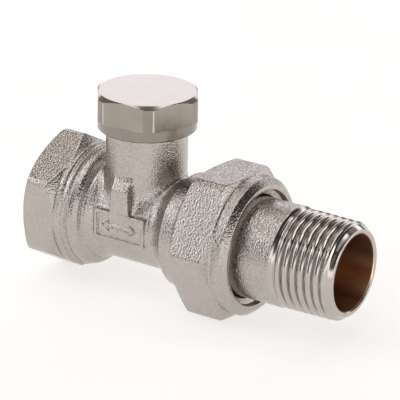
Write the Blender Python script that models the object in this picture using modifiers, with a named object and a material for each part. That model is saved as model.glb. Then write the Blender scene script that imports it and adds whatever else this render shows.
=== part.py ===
"""Straight lockshield radiator valve, size DN 15, nickel-plated brass.

Frame: the origin is the centre of the inlet socket's mouth, +X runs along the flow line
to the threaded tail, and +Z runs up the neck. Everything is in metres.

The body carries a screwed-in insert: a bush, a hollow shut-off spindle with a hexagon
socket, a swivelling seal disc on the spindle's foot, and a presetting cone inside the
spindle. A blanking cap closes the neck, and a union nut draws the tailpiece into the
body's outlet cone.
"""
import math

import bmesh
import bpy
from mathutils import Matrix

MM = 0.001
GAP = 0.3 * MM          # clearance left between neighbouring pieces
SEAL_GAP = 0.25 * MM    # clearance left round a seal in its groove
REACH = 1.0 * MM        # how far a cutter runs past the face that it opens

# ---- Faceting ----
SEGMENTS = 40           # sides of the large turned shapes
SMALL_SEGMENTS = 24     # sides of the pieces inside the neck and of one thread turn
RING_SIDES = 6          # sides of an O-ring's section
CUTTER_TURN = math.radians(1.7)     # keeps a cutter's corners off the edges that it meets
THREAD_TURN = math.radians(1.5)     # does the same for the thread ridge on its tube

# ---- Stations along the flow line, from the inlet socket's mouth ----
NECK_X = 23.0 * MM
SPIGOT_END_X = 45.6 * MM
NUT_BACK_X = 38.4 * MM
NUT_FRONT_X = 52.2 * MM
THREAD_START_X = 60.9 * MM
TAIL_END_X = 74.4 * MM

# ---- Body, outside ----
BODY_HEX_FLATS = 27.0 * MM
BODY_HEX_CORNER_R = 15.3 * MM
BODY_HEX_FACE_R = 12.96 * MM
BODY_HEX_FRONT_R = 12.85 * MM
BODY_HEX_CORNER_X = (1.3 * MM, 7.1 * MM)
BODY_HEX_FRONT_X = 8.6 * MM
HEX_CORE_R = 12.0 * MM      # the barrel's stub hidden inside the hexagon
HEX_CORE_X = 2.0 * MM
LAND_R = 13.6 * MM
LAND_X = (8.15 * MM, 9.3 * MM)
COLLAR_R = 13.3 * MM
COLLAR_X = (9.6 * MM, 10.7 * MM)
BEAD_R = 12.9 * MM
BEAD_X = (11.3 * MM, 13.9 * MM)
BEAD_FOOT_R = 10.9 * MM
BARREL_R = 9.85 * MM
BARREL_X = (16.8 * MM, 30.6 * MM)
FLANGE_R = 12.3 * MM
FLANGE_X = (34.6 * MM, 37.6 * MM)
FLARE_POWER = 1.7
SPIGOT_R = 12.75 * MM
SPIGOT_X = 38.0 * MM
SPIGOT_CHAMFER = 0.7 * MM
NECK_R = 8.68 * MM
NECK_SHOULDER_Z = 20.1 * MM
CAP_THREAD_R = 7.9 * MM
CAP_THREAD_CHAMFER = 0.5 * MM
NECK_TOP_Z = 25.1 * MM

# ---- Body, inside ----
SOCKET_R = 9.9 * MM
SOCKET_MOUTH_R = 10.9 * MM
SOCKET_DEPTH = 12.5 * MM
SOCKET_TAPER = 2.0 * MM
PASSAGE_R = 7.0 * MM
PASSAGE_X = (36.0 * MM, 39.0 * MM)
INLET_DRILL_R = 4.0 * MM
INLET_DRILL_Z = -3.6 * MM
INLET_DRILL_END_X = 26.0 * MM
OUTLET_DRILL_R = 5.2 * MM
OUTLET_DRILL_Z = 2.4 * MM
OUTLET_DRILL_X = (28.2 * MM, 37.0 * MM)
SEAT_R = 4.2 * MM
SEAT_LIP_R = 5.0 * MM
SEAT_Z = 1.8 * MM
CHAMBER_FLOOR_Z = 1.2 * MM
NECK_BORE_R = 6.4 * MM
COUNTERBORE_R = 7.1 * MM
COUNTERBORE_Z = 21.1 * MM
CONE_SEAT_X = 41.0 * MM
CONE_SEAT_R = 9.6 * MM
CONE_MOUTH_R = 11.2 * MM

# ---- Marking plate on the barrel's front ----
PLATE_FRONT_Y = -10.45 * MM
PLATE_BACK_Y = -8.0 * MM
PLATE_LEFT_X = NECK_X - 6.4 * MM
PLATE_RIGHT_X = NECK_X + 6.4 * MM
PLATE_LOW_Z = -2.6 * MM
PLATE_HIGH_Z = 3.9 * MM
PLATE_BORDER = 0.7 * MM
PLATE_RECESS = 0.3 * MM
PLATE_TAPER = 0.2 * MM
STEM_HALF_WIDTH = 2.2 * MM
STEM_TAPER = 0.6 * MM
STEM_CENTRE_X = NECK_X + 0.05 * MM
STEM_FRONT_TOP_Z = 9.2 * MM
STEM_BACK_TOP_Z = 11.6 * MM
STEM_BACK_Y = -8.2 * MM
STEM_ROOT_Y = -6.0 * MM     # inside the neck

# ---- Union nut and tailpiece ----
NUT_FLATS = 30.0 * MM
NUT_CORNER_R = 16.9 * MM
NUT_TURN = math.radians(28.6)
NUT_BACK_FACE_R = 13.9 * MM
NUT_CORNER_X = (40.2 * MM, 47.6 * MM)
NUT_FLAT_X = (39.5 * MM, 48.5 * MM)
NUT_COLLAR_X = 48.8 * MM
NUT_COLLAR_EDGE = 0.9 * MM
NUT_MOUTH_CHAMFER = 0.5 * MM
NUT_BORE_R = SPIGOT_R + GAP
NUT_LIP_X = 48.3 * MM
NUT_LIP_FRONT_X = 50.2 * MM
NUT_LIP_R = 11.1 * MM
NUT_MOUTH_R = 12.4 * MM
NUT_COLLAR_R = 14.75 * MM
TAIL_TUBE_R = 10.75 * MM
TAIL_COLLAR_R = 12.7 * MM
TAIL_BORE_R = 8.15 * MM
TAIL_NOSE_BORE_R = 6.8 * MM
TAIL_NOSE_X = 41.4 * MM
TAIL_BORE_STEP_X = (52.0 * MM, 54.0 * MM)
TAIL_NOSE_CLEARANCE = 0.35 * MM
TAIL_CORE_R = 9.35 * MM
TAIL_END_R = 9.3 * MM
THREAD_CREST_R = 10.6 * MM
THREAD_TIP_CREST_R = 10.42 * MM
THREAD_PITCH = 25.4 * MM / 14
THREAD_TURNS = 9
TAIL_RING_X = 43.75 * MM
TAIL_RING_R = 9.57 * MM
TAIL_RING_WIRE_R = 0.65 * MM

# ---- Blanking cap ----
CAP_FLATS = 20.9 * MM
CAP_CORNER_R = 11.45 * MM
CAP_TURN = math.radians(5.5)
CAP_SKIRT_R = 10.5 * MM
CAP_BOTTOM_Z = 20.44 * MM
CAP_HEX_Z = 23.1 * MM
CAP_TOP_Z = 28.66 * MM
CAP_TOP_R = 10.3 * MM
CAP_CEILING_Z = 26.4 * MM
CAP_TOP_CHAMFER = 0.67 * MM
CAP_SKIRT_CHAMFER = 0.3 * MM
CAP_BORE_R = CAP_THREAD_R + GAP
GASKET_HOLE_R = 4.0 * MM

# ---- Insert: bush ----
BUSH_R = NECK_BORE_R - GAP
BUSH_BOTTOM_Z = 8.4 * MM
BUSH_TOP_Z = 25.0 * MM
BUSH_HEAD_R = COUNTERBORE_R - GAP
BUSH_HEAD_Z = 22.8 * MM
BUSH_RING_FLOOR_R = 5.4 * MM
BUSH_STEM_BORE_R = 4.6 * MM
BUSH_THREAD_BORE_R = 5.0 * MM
BUSH_STEP_Z = 16.0 * MM
NOTCH_WIDTH = 1.8 * MM
NOTCH_DEPTH = 0.9 * MM
NOTCH_INNER_R = 5.95 * MM
BUSH_RING_WIRE_R = 0.55 * MM

# ---- Insert: shut-off spindle, shown fully open ----
SPINDLE_TRAVEL = 3.0 * MM
SPINDLE_FOOT_Z = 5.4 * MM
SPINDLE_SHOULDER_Z = 8.3 * MM
SPINDLE_THREAD_Z = BUSH_STEP_Z + SPINDLE_TRAVEL + GAP
SPINDLE_TOP_Z = 23.4 * MM
SPINDLE_FOOT_R = 3.2 * MM
SPINDLE_STEM_R = BUSH_STEM_BORE_R - GAP
SPINDLE_THREAD_R = BUSH_THREAD_BORE_R - GAP
SPINDLE_BORE_R = 2.4 * MM
SPINDLE_SOCKET_FLATS = 5.0 * MM
SPINDLE_SOCKET_Z = 18.2 * MM
SPINDLE_RING_Z = (12.6 * MM, 14.8 * MM)
SPINDLE_RING_R = 3.8 * MM
SPINDLE_RING_WIRE_R = 0.55 * MM

# ---- Insert: retaining clips ----
CIRCLIP_Z = 23.7 * MM
CIRCLIP_THICKNESS = 0.5 * MM
CIRCLIP_INNER_R = 4.2 * MM
CIRCLIP_OUTER_R = 5.35 * MM
DISC_CLIP_Z = 6.1 * MM
DISC_CLIP_INNER_R = 2.95 * MM
DISC_CLIP_OUTER_R = 3.9 * MM
CLIP_MOUTH = 1.6 * MM

# ---- Insert: seal disc ----
DISC_R = 6.05 * MM
DISC_BORE_R = 3.5 * MM
DISC_TOP_Z = 8.0 * MM
DISC_PLATE_Z = 6.9 * MM
DISC_RECESS_R = 5.5 * MM
DISC_SEAL_BOTTOM_Z = SEAT_Z + GAP + SPINDLE_TRAVEL

# ---- Insert: presetting cone ----
CONE_STEM_R = SPINDLE_BORE_R - GAP
CONE_TOP_Z = 17.9 * MM
CONE_HEAD_TOP_Z = 4.9 * MM
CONE_HEAD_R = 3.7 * MM
CONE_TIP_R = 2.0 * MM
CONE_TIP_Z = 0.8 * MM
CONE_RING_Z = 11.5 * MM
CONE_RING_R = 1.8 * MM
CONE_RING_WIRE_R = 0.35 * MM
CONE_SLOT_WIDTH = 0.7 * MM
CONE_SLOT_DEPTH = 1.2 * MM

# ---- Finishes: colour, metallic, roughness ----
CAST_NICKEL = ((0.56, 0.52, 0.48), 1.0, 0.38)
TURNED_NICKEL = ((0.72, 0.69, 0.66), 1.0, 0.2)
BARE_BRASS = ((0.66, 0.48, 0.24), 1.0, 0.28)
SPRING_STEEL = ((0.42, 0.42, 0.43), 1.0, 0.3)
BLACK_RUBBER = ((0.02, 0.02, 0.02), 0.0, 0.6)
SEAL_FIBRE = ((0.33, 0.1, 0.07), 0.0, 0.8)


# ---------------------------------------------------------------- scene and helpers

def new_collection(name):
    collection = bpy.data.collections.new(name)
    bpy.context.scene.collection.children.link(collection)
    return collection


for old in list(bpy.data.objects):
    bpy.data.objects.remove(old, do_unlink=True)
PARTS = new_collection("lockshield_valve")
CUTTERS = new_collection("cutters")


def add_object(name, mesh, along_x=False, location=(0, 0, 0), is_part=False):
    """Place a mesh modelled about its own Z, turned to the flow line if along_x."""
    item = bpy.data.objects.new(name, mesh)
    item.location = location
    if along_x:
        item.rotation_euler = (0, math.pi / 2, 0)
    if is_part:
        PARTS.objects.link(item)
    else:
        CUTTERS.objects.link(item)
        item.hide_render = True
        item.display_type = "WIRE"
    return item


def finish(item, look):
    """Give a part its own material."""
    colour, metallic, roughness = look
    surface = bpy.data.materials.new(item.name)
    surface.use_nodes = True
    shader = surface.node_tree.nodes["Principled BSDF"]
    shader.inputs["Base Color"].default_value = (*colour, 1.0)
    shader.inputs["Metallic"].default_value = metallic
    shader.inputs["Roughness"].default_value = roughness
    item.data.materials.append(surface)


def turned(name, outline, segments=SEGMENTS, turn=CUTTER_TURN, **placing):
    """Revolve an outline of (radius, height) points.

    The outline climbs its outer side. It starts and ends on the axis for a solid piece,
    or comes back down its inner side for a ring.
    """
    if placing.get("is_part"):
        turn = 0.0
    points = [(radius * math.cos(turn), radius * math.sin(turn), height)
              for radius, height in reversed(outline)]
    links = [(i, i + 1) for i in range(len(points) - 1)]
    if outline[0][0] > 0:
        links.append((len(points) - 1, 0))
    mesh = bpy.data.meshes.new(name)
    mesh.from_pydata(points, links, [])
    item = add_object(name, mesh, **placing)
    screw = item.modifiers.new("turn", "SCREW")
    screw.axis = "Z"
    screw.steps = segments
    screw.render_steps = segments
    screw.use_merge_vertices = True
    screw.merge_threshold = 0.00001
    screw.use_smooth_shade = True
    return item


def eased(start, end, ease, steps=5):
    """Points after the start of a curve between two (radius, height) points, up to its end."""
    points = []
    for step in range(1, steps + 1):
        t = step / steps
        radius = start[0] + (end[0] - start[0]) * ease(t)
        points.append((radius, start[1] + (end[1] - start[1]) * t))
    return points


def s_shaped(t):
    return (1 - math.cos(math.pi * t)) / 2


def rounded_off(t):
    """Rise from 0 to 1 along a quarter circle, level at the start and steep at the end."""
    return 1 - math.sqrt(1 - t * t)


def flared(t):
    return t ** FLARE_POWER


def hexagon(name, flats, low, high, turn=0.0, **placing):
    """Six-sided prism between two heights, one corner at the turn angle from local +X."""
    corner_r = flats / 2 / math.cos(math.pi / 6)
    mesh = bpy.data.meshes.new(name)
    shape = bmesh.new()
    bmesh.ops.create_cone(shape, cap_ends=True, segments=6, radius1=corner_r, radius2=corner_r,
                          depth=high - low)
    # The primitive's first corner is on local +Y.
    bmesh.ops.rotate(shape, verts=shape.verts, matrix=Matrix.Rotation(turn - math.pi / 2, 3, "Z"))
    bmesh.ops.translate(shape, verts=shape.verts, vec=(0, 0, (low + high) / 2))
    shape.to_mesh(mesh)
    shape.free()
    return add_object(name, mesh, **placing)


def block(name, low, high, taper=None, **placing):
    """Box between two corners. A taper draws in both sides of the -Y face by its amount."""
    mesh = bpy.data.meshes.new(name)
    shape = bmesh.new()
    bmesh.ops.create_cube(shape, size=1.0)
    for vert in shape.verts:
        for axis in range(3):
            vert.co[axis] = high[axis] if vert.co[axis] > 0 else low[axis]
    if taper:
        middle = (low[0] + high[0]) / 2
        for vert in shape.verts:
            if vert.co.y < (low[1] + high[1]) / 2:
                vert.co.x += taper if vert.co.x < middle else -taper
    shape.to_mesh(mesh)
    shape.free()
    return add_object(name, mesh, **placing)


def o_ring(name, radius, wire_r, segments=SMALL_SEGMENTS, **placing):
    """Round-section seal about local Z."""
    section = []
    for step in range(RING_SIDES):
        angle = 2 * math.pi * step / RING_SIDES
        section.append((radius + wire_r * math.cos(angle), wire_r * math.sin(angle)))
    return turned(name, section, segments, **placing)


def combine(target, operand, operation):
    boolean = target.modifiers.new(operand.name, "BOOLEAN")
    boolean.operation = operation
    boolean.solver = "EXACT"
    boolean.object = operand


def cut(target, operand):
    combine(target, operand, "DIFFERENCE")


def join(target, operand):
    combine(target, operand, "UNION")


def keep_inside(target, operand):
    combine(target, operand, "INTERSECT")


# ---------------------------------------------------------------- body

def body_outside():
    """Barrel, hexagon, neck and union spigot, as one solid."""
    barrel = turned("valve_body", [
        (0, HEX_CORE_X),
        (HEX_CORE_R, HEX_CORE_X),
        (HEX_CORE_R, LAND_X[0]),
        (LAND_R, LAND_X[0]),
        (LAND_R, LAND_X[1]),
        (COLLAR_R, COLLAR_X[0]),
        (COLLAR_R, COLLAR_X[1]),
        (BEAD_R, BEAD_X[0]),
        *eased((BEAD_R, BEAD_X[0]), (BEAD_FOOT_R, BEAD_X[1]), rounded_off),
        *eased((BEAD_FOOT_R, BEAD_X[1]), (BARREL_R, BARREL_X[0]), s_shaped),
        (BARREL_R, BARREL_X[1]),
        *eased((BARREL_R, BARREL_X[1]), (FLANGE_R, FLANGE_X[0]), flared),
        (FLANGE_R, FLANGE_X[1]),
        (SPIGOT_R, SPIGOT_X),
        (SPIGOT_R, SPIGOT_END_X - SPIGOT_CHAMFER),
        (SPIGOT_R - SPIGOT_CHAMFER, SPIGOT_END_X),
        (0, SPIGOT_END_X),
    ], along_x=True, is_part=True)

    blank = turned("body_hex_blank", [
        (0, 0),
        (BODY_HEX_FACE_R, 0),
        (BODY_HEX_CORNER_R, BODY_HEX_CORNER_X[0]),
        (BODY_HEX_CORNER_R, BODY_HEX_CORNER_X[1]),
        (BODY_HEX_FRONT_R, BODY_HEX_FRONT_X),
        (0, BODY_HEX_FRONT_X),
    ], along_x=True)
    prism = hexagon("body_hex", BODY_HEX_FLATS, -REACH, BODY_HEX_FRONT_X + REACH, along_x=True)
    keep_inside(prism, blank)
    join(barrel, prism)

    neck = turned("neck", [
        (0, 0),
        (NECK_R, 0),
        (NECK_R, NECK_SHOULDER_Z),
        (CAP_THREAD_R, NECK_SHOULDER_Z),
        (CAP_THREAD_R, NECK_TOP_Z - CAP_THREAD_CHAMFER),
        (CAP_THREAD_R - CAP_THREAD_CHAMFER, NECK_TOP_Z),
        (0, NECK_TOP_Z),
    ], location=(NECK_X, 0, 0))
    join(barrel, neck)
    return barrel


def add_marking_plate(body):
    """Framed plate with a stem that climbs the neck, and a plain flow arrow in its field."""
    plate = block("plate", (PLATE_LEFT_X, PLATE_FRONT_Y, PLATE_LOW_Z),
                  (PLATE_RIGHT_X, PLATE_BACK_Y, PLATE_HIGH_Z), taper=PLATE_TAPER)
    join(body, plate)

    half_foot = STEM_HALF_WIDTH + STEM_TAPER
    stem = block("plate_stem", (STEM_CENTRE_X - half_foot, PLATE_FRONT_Y, 0),
                 (STEM_CENTRE_X + half_foot, STEM_ROOT_Y, STEM_BACK_TOP_Z), taper=STEM_TAPER)
    slope = math.atan2(STEM_BACK_TOP_Z - STEM_FRONT_TOP_Z, STEM_BACK_Y - PLATE_FRONT_Y)
    bevel = block("stem_bevel", (-5.0 * MM, -4.0 * MM, 0), (5.0 * MM, 8.0 * MM, 6.0 * MM),
                  location=(STEM_CENTRE_X, PLATE_FRONT_Y, STEM_FRONT_TOP_Z))
    bevel.rotation_euler = (slope, 0, 0)
    cut(stem, bevel)
    join(body, stem)

    field_low = (PLATE_LEFT_X + PLATE_BORDER, PLATE_FRONT_Y - REACH, PLATE_LOW_Z + PLATE_BORDER)
    field_high = (PLATE_RIGHT_X - PLATE_BORDER, PLATE_FRONT_Y + PLATE_RECESS, PLATE_HIGH_Z - PLATE_BORDER)
    field = block("plate_field", field_low, field_high)
    cut(body, field)
    join(body, flow_arrow())


def flow_arrow():
    """Raised double-headed arrow along the flow line, standing in the plate's field."""
    half_length = 4.3 * MM
    head_length = 1.7 * MM
    head_half = 1.3 * MM
    shaft_half = 0.45 * MM
    right_side = [(half_length - head_length, -shaft_half), (half_length - head_length, -head_half),
                  (half_length, 0), (half_length - head_length, head_half),
                  (half_length - head_length, shaft_half)]
    left_side = [(-across, -up) for across, up in right_side]
    outline = bpy.data.curves.new("flow_arrow_outline", "CURVE")
    outline.dimensions = "2D"
    outline.fill_mode = "BOTH"
    thickness = 0.55 * MM
    outline.extrude = thickness / 2
    spline = outline.splines.new("POLY")
    spline.points.add(len(right_side + left_side) - 1)
    for point, (across, up) in zip(spline.points, right_side + left_side):
        point.co = (across, up, 0, 1)
    spline.use_cyclic_u = True

    holder = bpy.data.objects.new("flow_arrow_curve", outline)
    CUTTERS.objects.link(holder)
    bpy.context.view_layer.update()
    mesh = bpy.data.meshes.new_from_object(holder.evaluated_get(bpy.context.evaluated_depsgraph_get()))
    bpy.data.objects.remove(holder)
    shape = bmesh.new()
    shape.from_mesh(mesh)
    bmesh.ops.remove_doubles(shape, verts=shape.verts, dist=0.00001)
    bmesh.ops.recalc_face_normals(shape, faces=shape.faces)
    shape.to_mesh(mesh)
    shape.free()
    middle_x = (PLATE_LEFT_X + PLATE_RIGHT_X) / 2
    middle_z = (PLATE_LOW_Z + PLATE_HIGH_Z) / 2
    front_y = PLATE_FRONT_Y + 0.1 * MM
    arrow = add_object("flow_arrow", mesh, location=(middle_x, front_y + thickness / 2, middle_z))
    arrow.rotation_euler = (math.pi / 2, 0, 0)
    return arrow


def cut_waterways(body):
    """Inlet socket and drilling, valve seat, neck bore, outlet drilling and union cone."""
    cut(body, turned("inlet_socket_cutter", [
        (0, -REACH),
        (SOCKET_MOUTH_R + REACH, -REACH),
        (SOCKET_R, SOCKET_MOUTH_R - SOCKET_R),
        (SOCKET_R, SOCKET_DEPTH),
        (PASSAGE_R, SOCKET_DEPTH + SOCKET_TAPER),
        (PASSAGE_R, SOCKET_DEPTH + SOCKET_TAPER + REACH / 2),
        (0, SOCKET_DEPTH + SOCKET_TAPER + REACH / 2),
    ], along_x=True))
    cut(body, turned("inlet_drilling_cutter", [
        (0, SOCKET_DEPTH + REACH),
        (INLET_DRILL_R, SOCKET_DEPTH + REACH),
        (INLET_DRILL_R, INLET_DRILL_END_X),
        (0, INLET_DRILL_END_X),
    ], SMALL_SEGMENTS, along_x=True, location=(0, 0, INLET_DRILL_Z)))
    cut(body, turned("neck_bore_cutter", [
        (0, INLET_DRILL_Z),
        (SEAT_R, INLET_DRILL_Z),
        (SEAT_R, SEAT_Z),
        (SEAT_LIP_R, SEAT_Z),
        (SEAT_LIP_R, CHAMBER_FLOOR_Z),
        (NECK_BORE_R, CHAMBER_FLOOR_Z),
        (NECK_BORE_R, COUNTERBORE_Z),
        (COUNTERBORE_R, COUNTERBORE_Z),
        (COUNTERBORE_R, NECK_TOP_Z + REACH),
        (0, NECK_TOP_Z + REACH),
    ], SMALL_SEGMENTS, location=(NECK_X, 0, 0)))
    cut(body, turned("outlet_drilling_cutter", [
        (0, OUTLET_DRILL_X[0]),
        (OUTLET_DRILL_R, OUTLET_DRILL_X[0]),
        (OUTLET_DRILL_R, OUTLET_DRILL_X[1]),
        (0, OUTLET_DRILL_X[1]),
    ], SMALL_SEGMENTS, along_x=True, location=(0, 0, OUTLET_DRILL_Z)))
    cut(body, turned("outlet_cone_cutter", [
        (0, PASSAGE_X[0]),
        (PASSAGE_R, PASSAGE_X[0]),
        (PASSAGE_R, PASSAGE_X[1]),
        (CONE_SEAT_R, CONE_SEAT_X),
        (cone_seat_radius(SPIGOT_END_X + REACH), SPIGOT_END_X + REACH),
        (0, SPIGOT_END_X + REACH),
    ], along_x=True))


def cone_seat_radius(x):
    """Radius of the body's union cone at a station on the flow line."""
    slope = (CONE_MOUTH_R - CONE_SEAT_R) / (SPIGOT_END_X - CONE_SEAT_X)
    return CONE_SEAT_R + slope * (x - CONE_SEAT_X)


def make_body():
    body = body_outside()
    add_marking_plate(body)
    cut_waterways(body)
    finish(body, CAST_NICKEL)


# ---------------------------------------------------------------- union

def make_union_nut():
    """Hexagon with a round collar in front, a lip inside and a smooth stand-in thread."""
    nut = hexagon("union_nut", NUT_FLATS, NUT_BACK_X, NUT_FRONT_X, NUT_TURN, along_x=True, is_part=True)
    keep_inside(nut, turned("nut_blank", [
        (0, NUT_BACK_X),
        (NUT_BACK_FACE_R, NUT_BACK_X),
        (NUT_FLATS / 2, NUT_FLAT_X[0]),
        (NUT_CORNER_R, NUT_CORNER_X[0]),
        (NUT_CORNER_R, NUT_CORNER_X[1]),
        (NUT_FLATS / 2, NUT_FLAT_X[1]),
        (NUT_COLLAR_R, NUT_COLLAR_X),
        (NUT_COLLAR_R, NUT_FRONT_X - NUT_COLLAR_EDGE),
        (NUT_COLLAR_R - NUT_COLLAR_EDGE / 3, NUT_FRONT_X - NUT_COLLAR_EDGE / 3),
        (NUT_COLLAR_R - NUT_COLLAR_EDGE, NUT_FRONT_X),
        (0, NUT_FRONT_X),
    ], along_x=True))
    cut(nut, turned("nut_bore_cutter", [
        (0, NUT_BACK_X - REACH),
        (NUT_BORE_R + NUT_MOUTH_CHAMFER + REACH, NUT_BACK_X - REACH),
        (NUT_BORE_R, NUT_BACK_X + NUT_MOUTH_CHAMFER),
        (NUT_BORE_R, NUT_LIP_X),
        (NUT_LIP_R, NUT_LIP_X),
        (NUT_LIP_R, NUT_LIP_FRONT_X),
        (NUT_MOUTH_R, NUT_LIP_FRONT_X + NUT_MOUTH_CHAMFER),
        (NUT_MOUTH_R, NUT_FRONT_X + REACH),
        (0, NUT_FRONT_X + REACH),
    ], along_x=True))
    finish(nut, CAST_NICKEL)


def tail_thread():
    """Helical ridge of the taper pipe thread, trimmed to the taper and the end chamfer."""
    base_half = 0.74 * MM
    crest_half = 0.2 * MM
    root_r = TAIL_CORE_R - 0.5 * MM
    crest_r = THREAD_CREST_R + 0.1 * MM
    section = [(crest_r, crest_half), (crest_r, -crest_half), (root_r, -base_half), (root_r, base_half)]
    start = THREAD_START_X - THREAD_PITCH
    mesh = bpy.data.meshes.new("thread_ridge")
    points = [(r * math.cos(THREAD_TURN), r * math.sin(THREAD_TURN), start + z) for r, z in section]
    mesh.from_pydata(points, [(0, 1), (1, 2), (2, 3), (3, 0)], [])
    path = add_object("thread_path", mesh)
    screw = path.modifiers.new("helix", "SCREW")
    screw.axis = "Z"
    screw.iterations = THREAD_TURNS
    screw.screw_offset = THREAD_PITCH
    screw.steps = SMALL_SEGMENTS
    screw.render_steps = SMALL_SEGMENTS

    bpy.context.view_layer.update()
    solid = bpy.data.meshes.new_from_object(path.evaluated_get(bpy.context.evaluated_depsgraph_get()))
    bpy.data.objects.remove(path)
    shape = bmesh.new()
    shape.from_mesh(solid)
    bmesh.ops.holes_fill(shape, edges=[edge for edge in shape.edges if edge.is_boundary])
    bmesh.ops.recalc_face_normals(shape, faces=shape.faces)
    shape.to_mesh(solid)
    shape.free()
    ridge = add_object("thread_ridge", solid, along_x=True)

    inside_r = TAIL_CORE_R - 0.3 * MM
    keep_inside(ridge, turned("thread_blank", [
        (THREAD_CREST_R, THREAD_START_X - 0.5 * MM),
        (THREAD_TIP_CREST_R, TAIL_END_X - 1.6 * MM),
        (TAIL_CORE_R - 0.15 * MM, TAIL_END_X - 0.5 * MM),
        (inside_r, TAIL_END_X - 0.5 * MM),
        (inside_r, THREAD_START_X - 0.5 * MM),
    ], turn=0.0, along_x=True))
    return ridge


def make_tailpiece():
    """Cone nose with its seal groove, collar, tube and taper-threaded end."""
    groove = TAIL_RING_WIRE_R + SEAL_GAP
    nose = [(cone_seat_radius(x) - TAIL_NOSE_CLEARANCE, x) for x in
            (TAIL_NOSE_X, TAIL_RING_X - groove, TAIL_RING_X + groove, SPIGOT_END_X + GAP)]
    floor_r = TAIL_RING_R - TAIL_RING_WIRE_R - GAP
    tail = turned("tailpiece", [
        nose[0],
        nose[1],
        (floor_r, TAIL_RING_X - groove),
        (floor_r, TAIL_RING_X + groove),
        nose[2],
        nose[3],
        (TAIL_COLLAR_R, SPIGOT_END_X + GAP),
        (TAIL_COLLAR_R, NUT_LIP_X - GAP),
        (TAIL_TUBE_R, NUT_LIP_X - GAP),
        (TAIL_TUBE_R, THREAD_START_X - 0.6 * MM),
        (TAIL_TUBE_R - 0.25 * MM, THREAD_START_X - 0.2 * MM),
        (TAIL_CORE_R, THREAD_START_X + 0.5 * MM),
        (TAIL_CORE_R, TAIL_END_X - 0.3 * MM),
        (TAIL_END_R - 0.2 * MM, TAIL_END_X),
        (TAIL_BORE_R + 0.3 * MM, TAIL_END_X),
        (TAIL_BORE_R, TAIL_END_X - 0.3 * MM),
        (TAIL_BORE_R, TAIL_BORE_STEP_X[1]),
        (TAIL_NOSE_BORE_R, TAIL_BORE_STEP_X[0]),
        (TAIL_NOSE_BORE_R, TAIL_NOSE_X),
    ], along_x=True, is_part=True)
    join(tail, tail_thread())
    finish(tail, TURNED_NICKEL)

    ring = o_ring("tailpiece_o_ring", TAIL_RING_R, TAIL_RING_WIRE_R, SEGMENTS, along_x=True,
                  location=(TAIL_RING_X, 0, 0), is_part=True)
    finish(ring, BLACK_RUBBER)


# ---------------------------------------------------------------- blanking cap

def make_blanking_cap():
    """Hexagon cap with turned corners and skirt, bored for the neck thread."""
    place = {"location": (NECK_X, 0, 0)}
    cap = turned("blanking_cap", [
        (0, CAP_BOTTOM_Z),
        (CAP_SKIRT_R - CAP_SKIRT_CHAMFER, CAP_BOTTOM_Z),
        (CAP_SKIRT_R, CAP_BOTTOM_Z + CAP_SKIRT_CHAMFER),
        (CAP_SKIRT_R, CAP_HEX_Z + 0.1 * MM),
        (CAP_TOP_R - 0.5 * MM, CAP_HEX_Z + 0.6 * MM),
        (0, CAP_HEX_Z + 0.6 * MM),
    ], is_part=True, **place)
    prism = hexagon("cap_hex", CAP_FLATS, CAP_HEX_Z - REACH, CAP_TOP_Z + REACH, CAP_TURN, **place)
    keep_inside(prism, turned("cap_blank", [
        (0, CAP_HEX_Z),
        (CAP_CORNER_R, CAP_HEX_Z),
        (CAP_CORNER_R, CAP_TOP_Z - CAP_TOP_CHAMFER),
        (CAP_TOP_R, CAP_TOP_Z),
        (0, CAP_TOP_Z),
    ], **place))
    join(cap, prism)
    cut(cap, turned("cap_bore_cutter", [
        (0, CAP_BOTTOM_Z - REACH),
        (CAP_BORE_R, CAP_BOTTOM_Z - REACH),
        (CAP_BORE_R, CAP_CEILING_Z),
        (0, CAP_CEILING_Z),
    ], **place))
    finish(cap, TURNED_NICKEL)

    gasket = turned("cap_gasket", [
        (CAP_BORE_R - GAP, NECK_TOP_Z + GAP),
        (CAP_BORE_R - GAP, CAP_CEILING_Z - GAP),
        (GASKET_HOLE_R, CAP_CEILING_Z - GAP),
        (GASKET_HOLE_R, NECK_TOP_Z + GAP),
    ], is_part=True, **place)
    finish(gasket, SEAL_FIBRE)


# ---------------------------------------------------------------- insert in the neck

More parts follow.
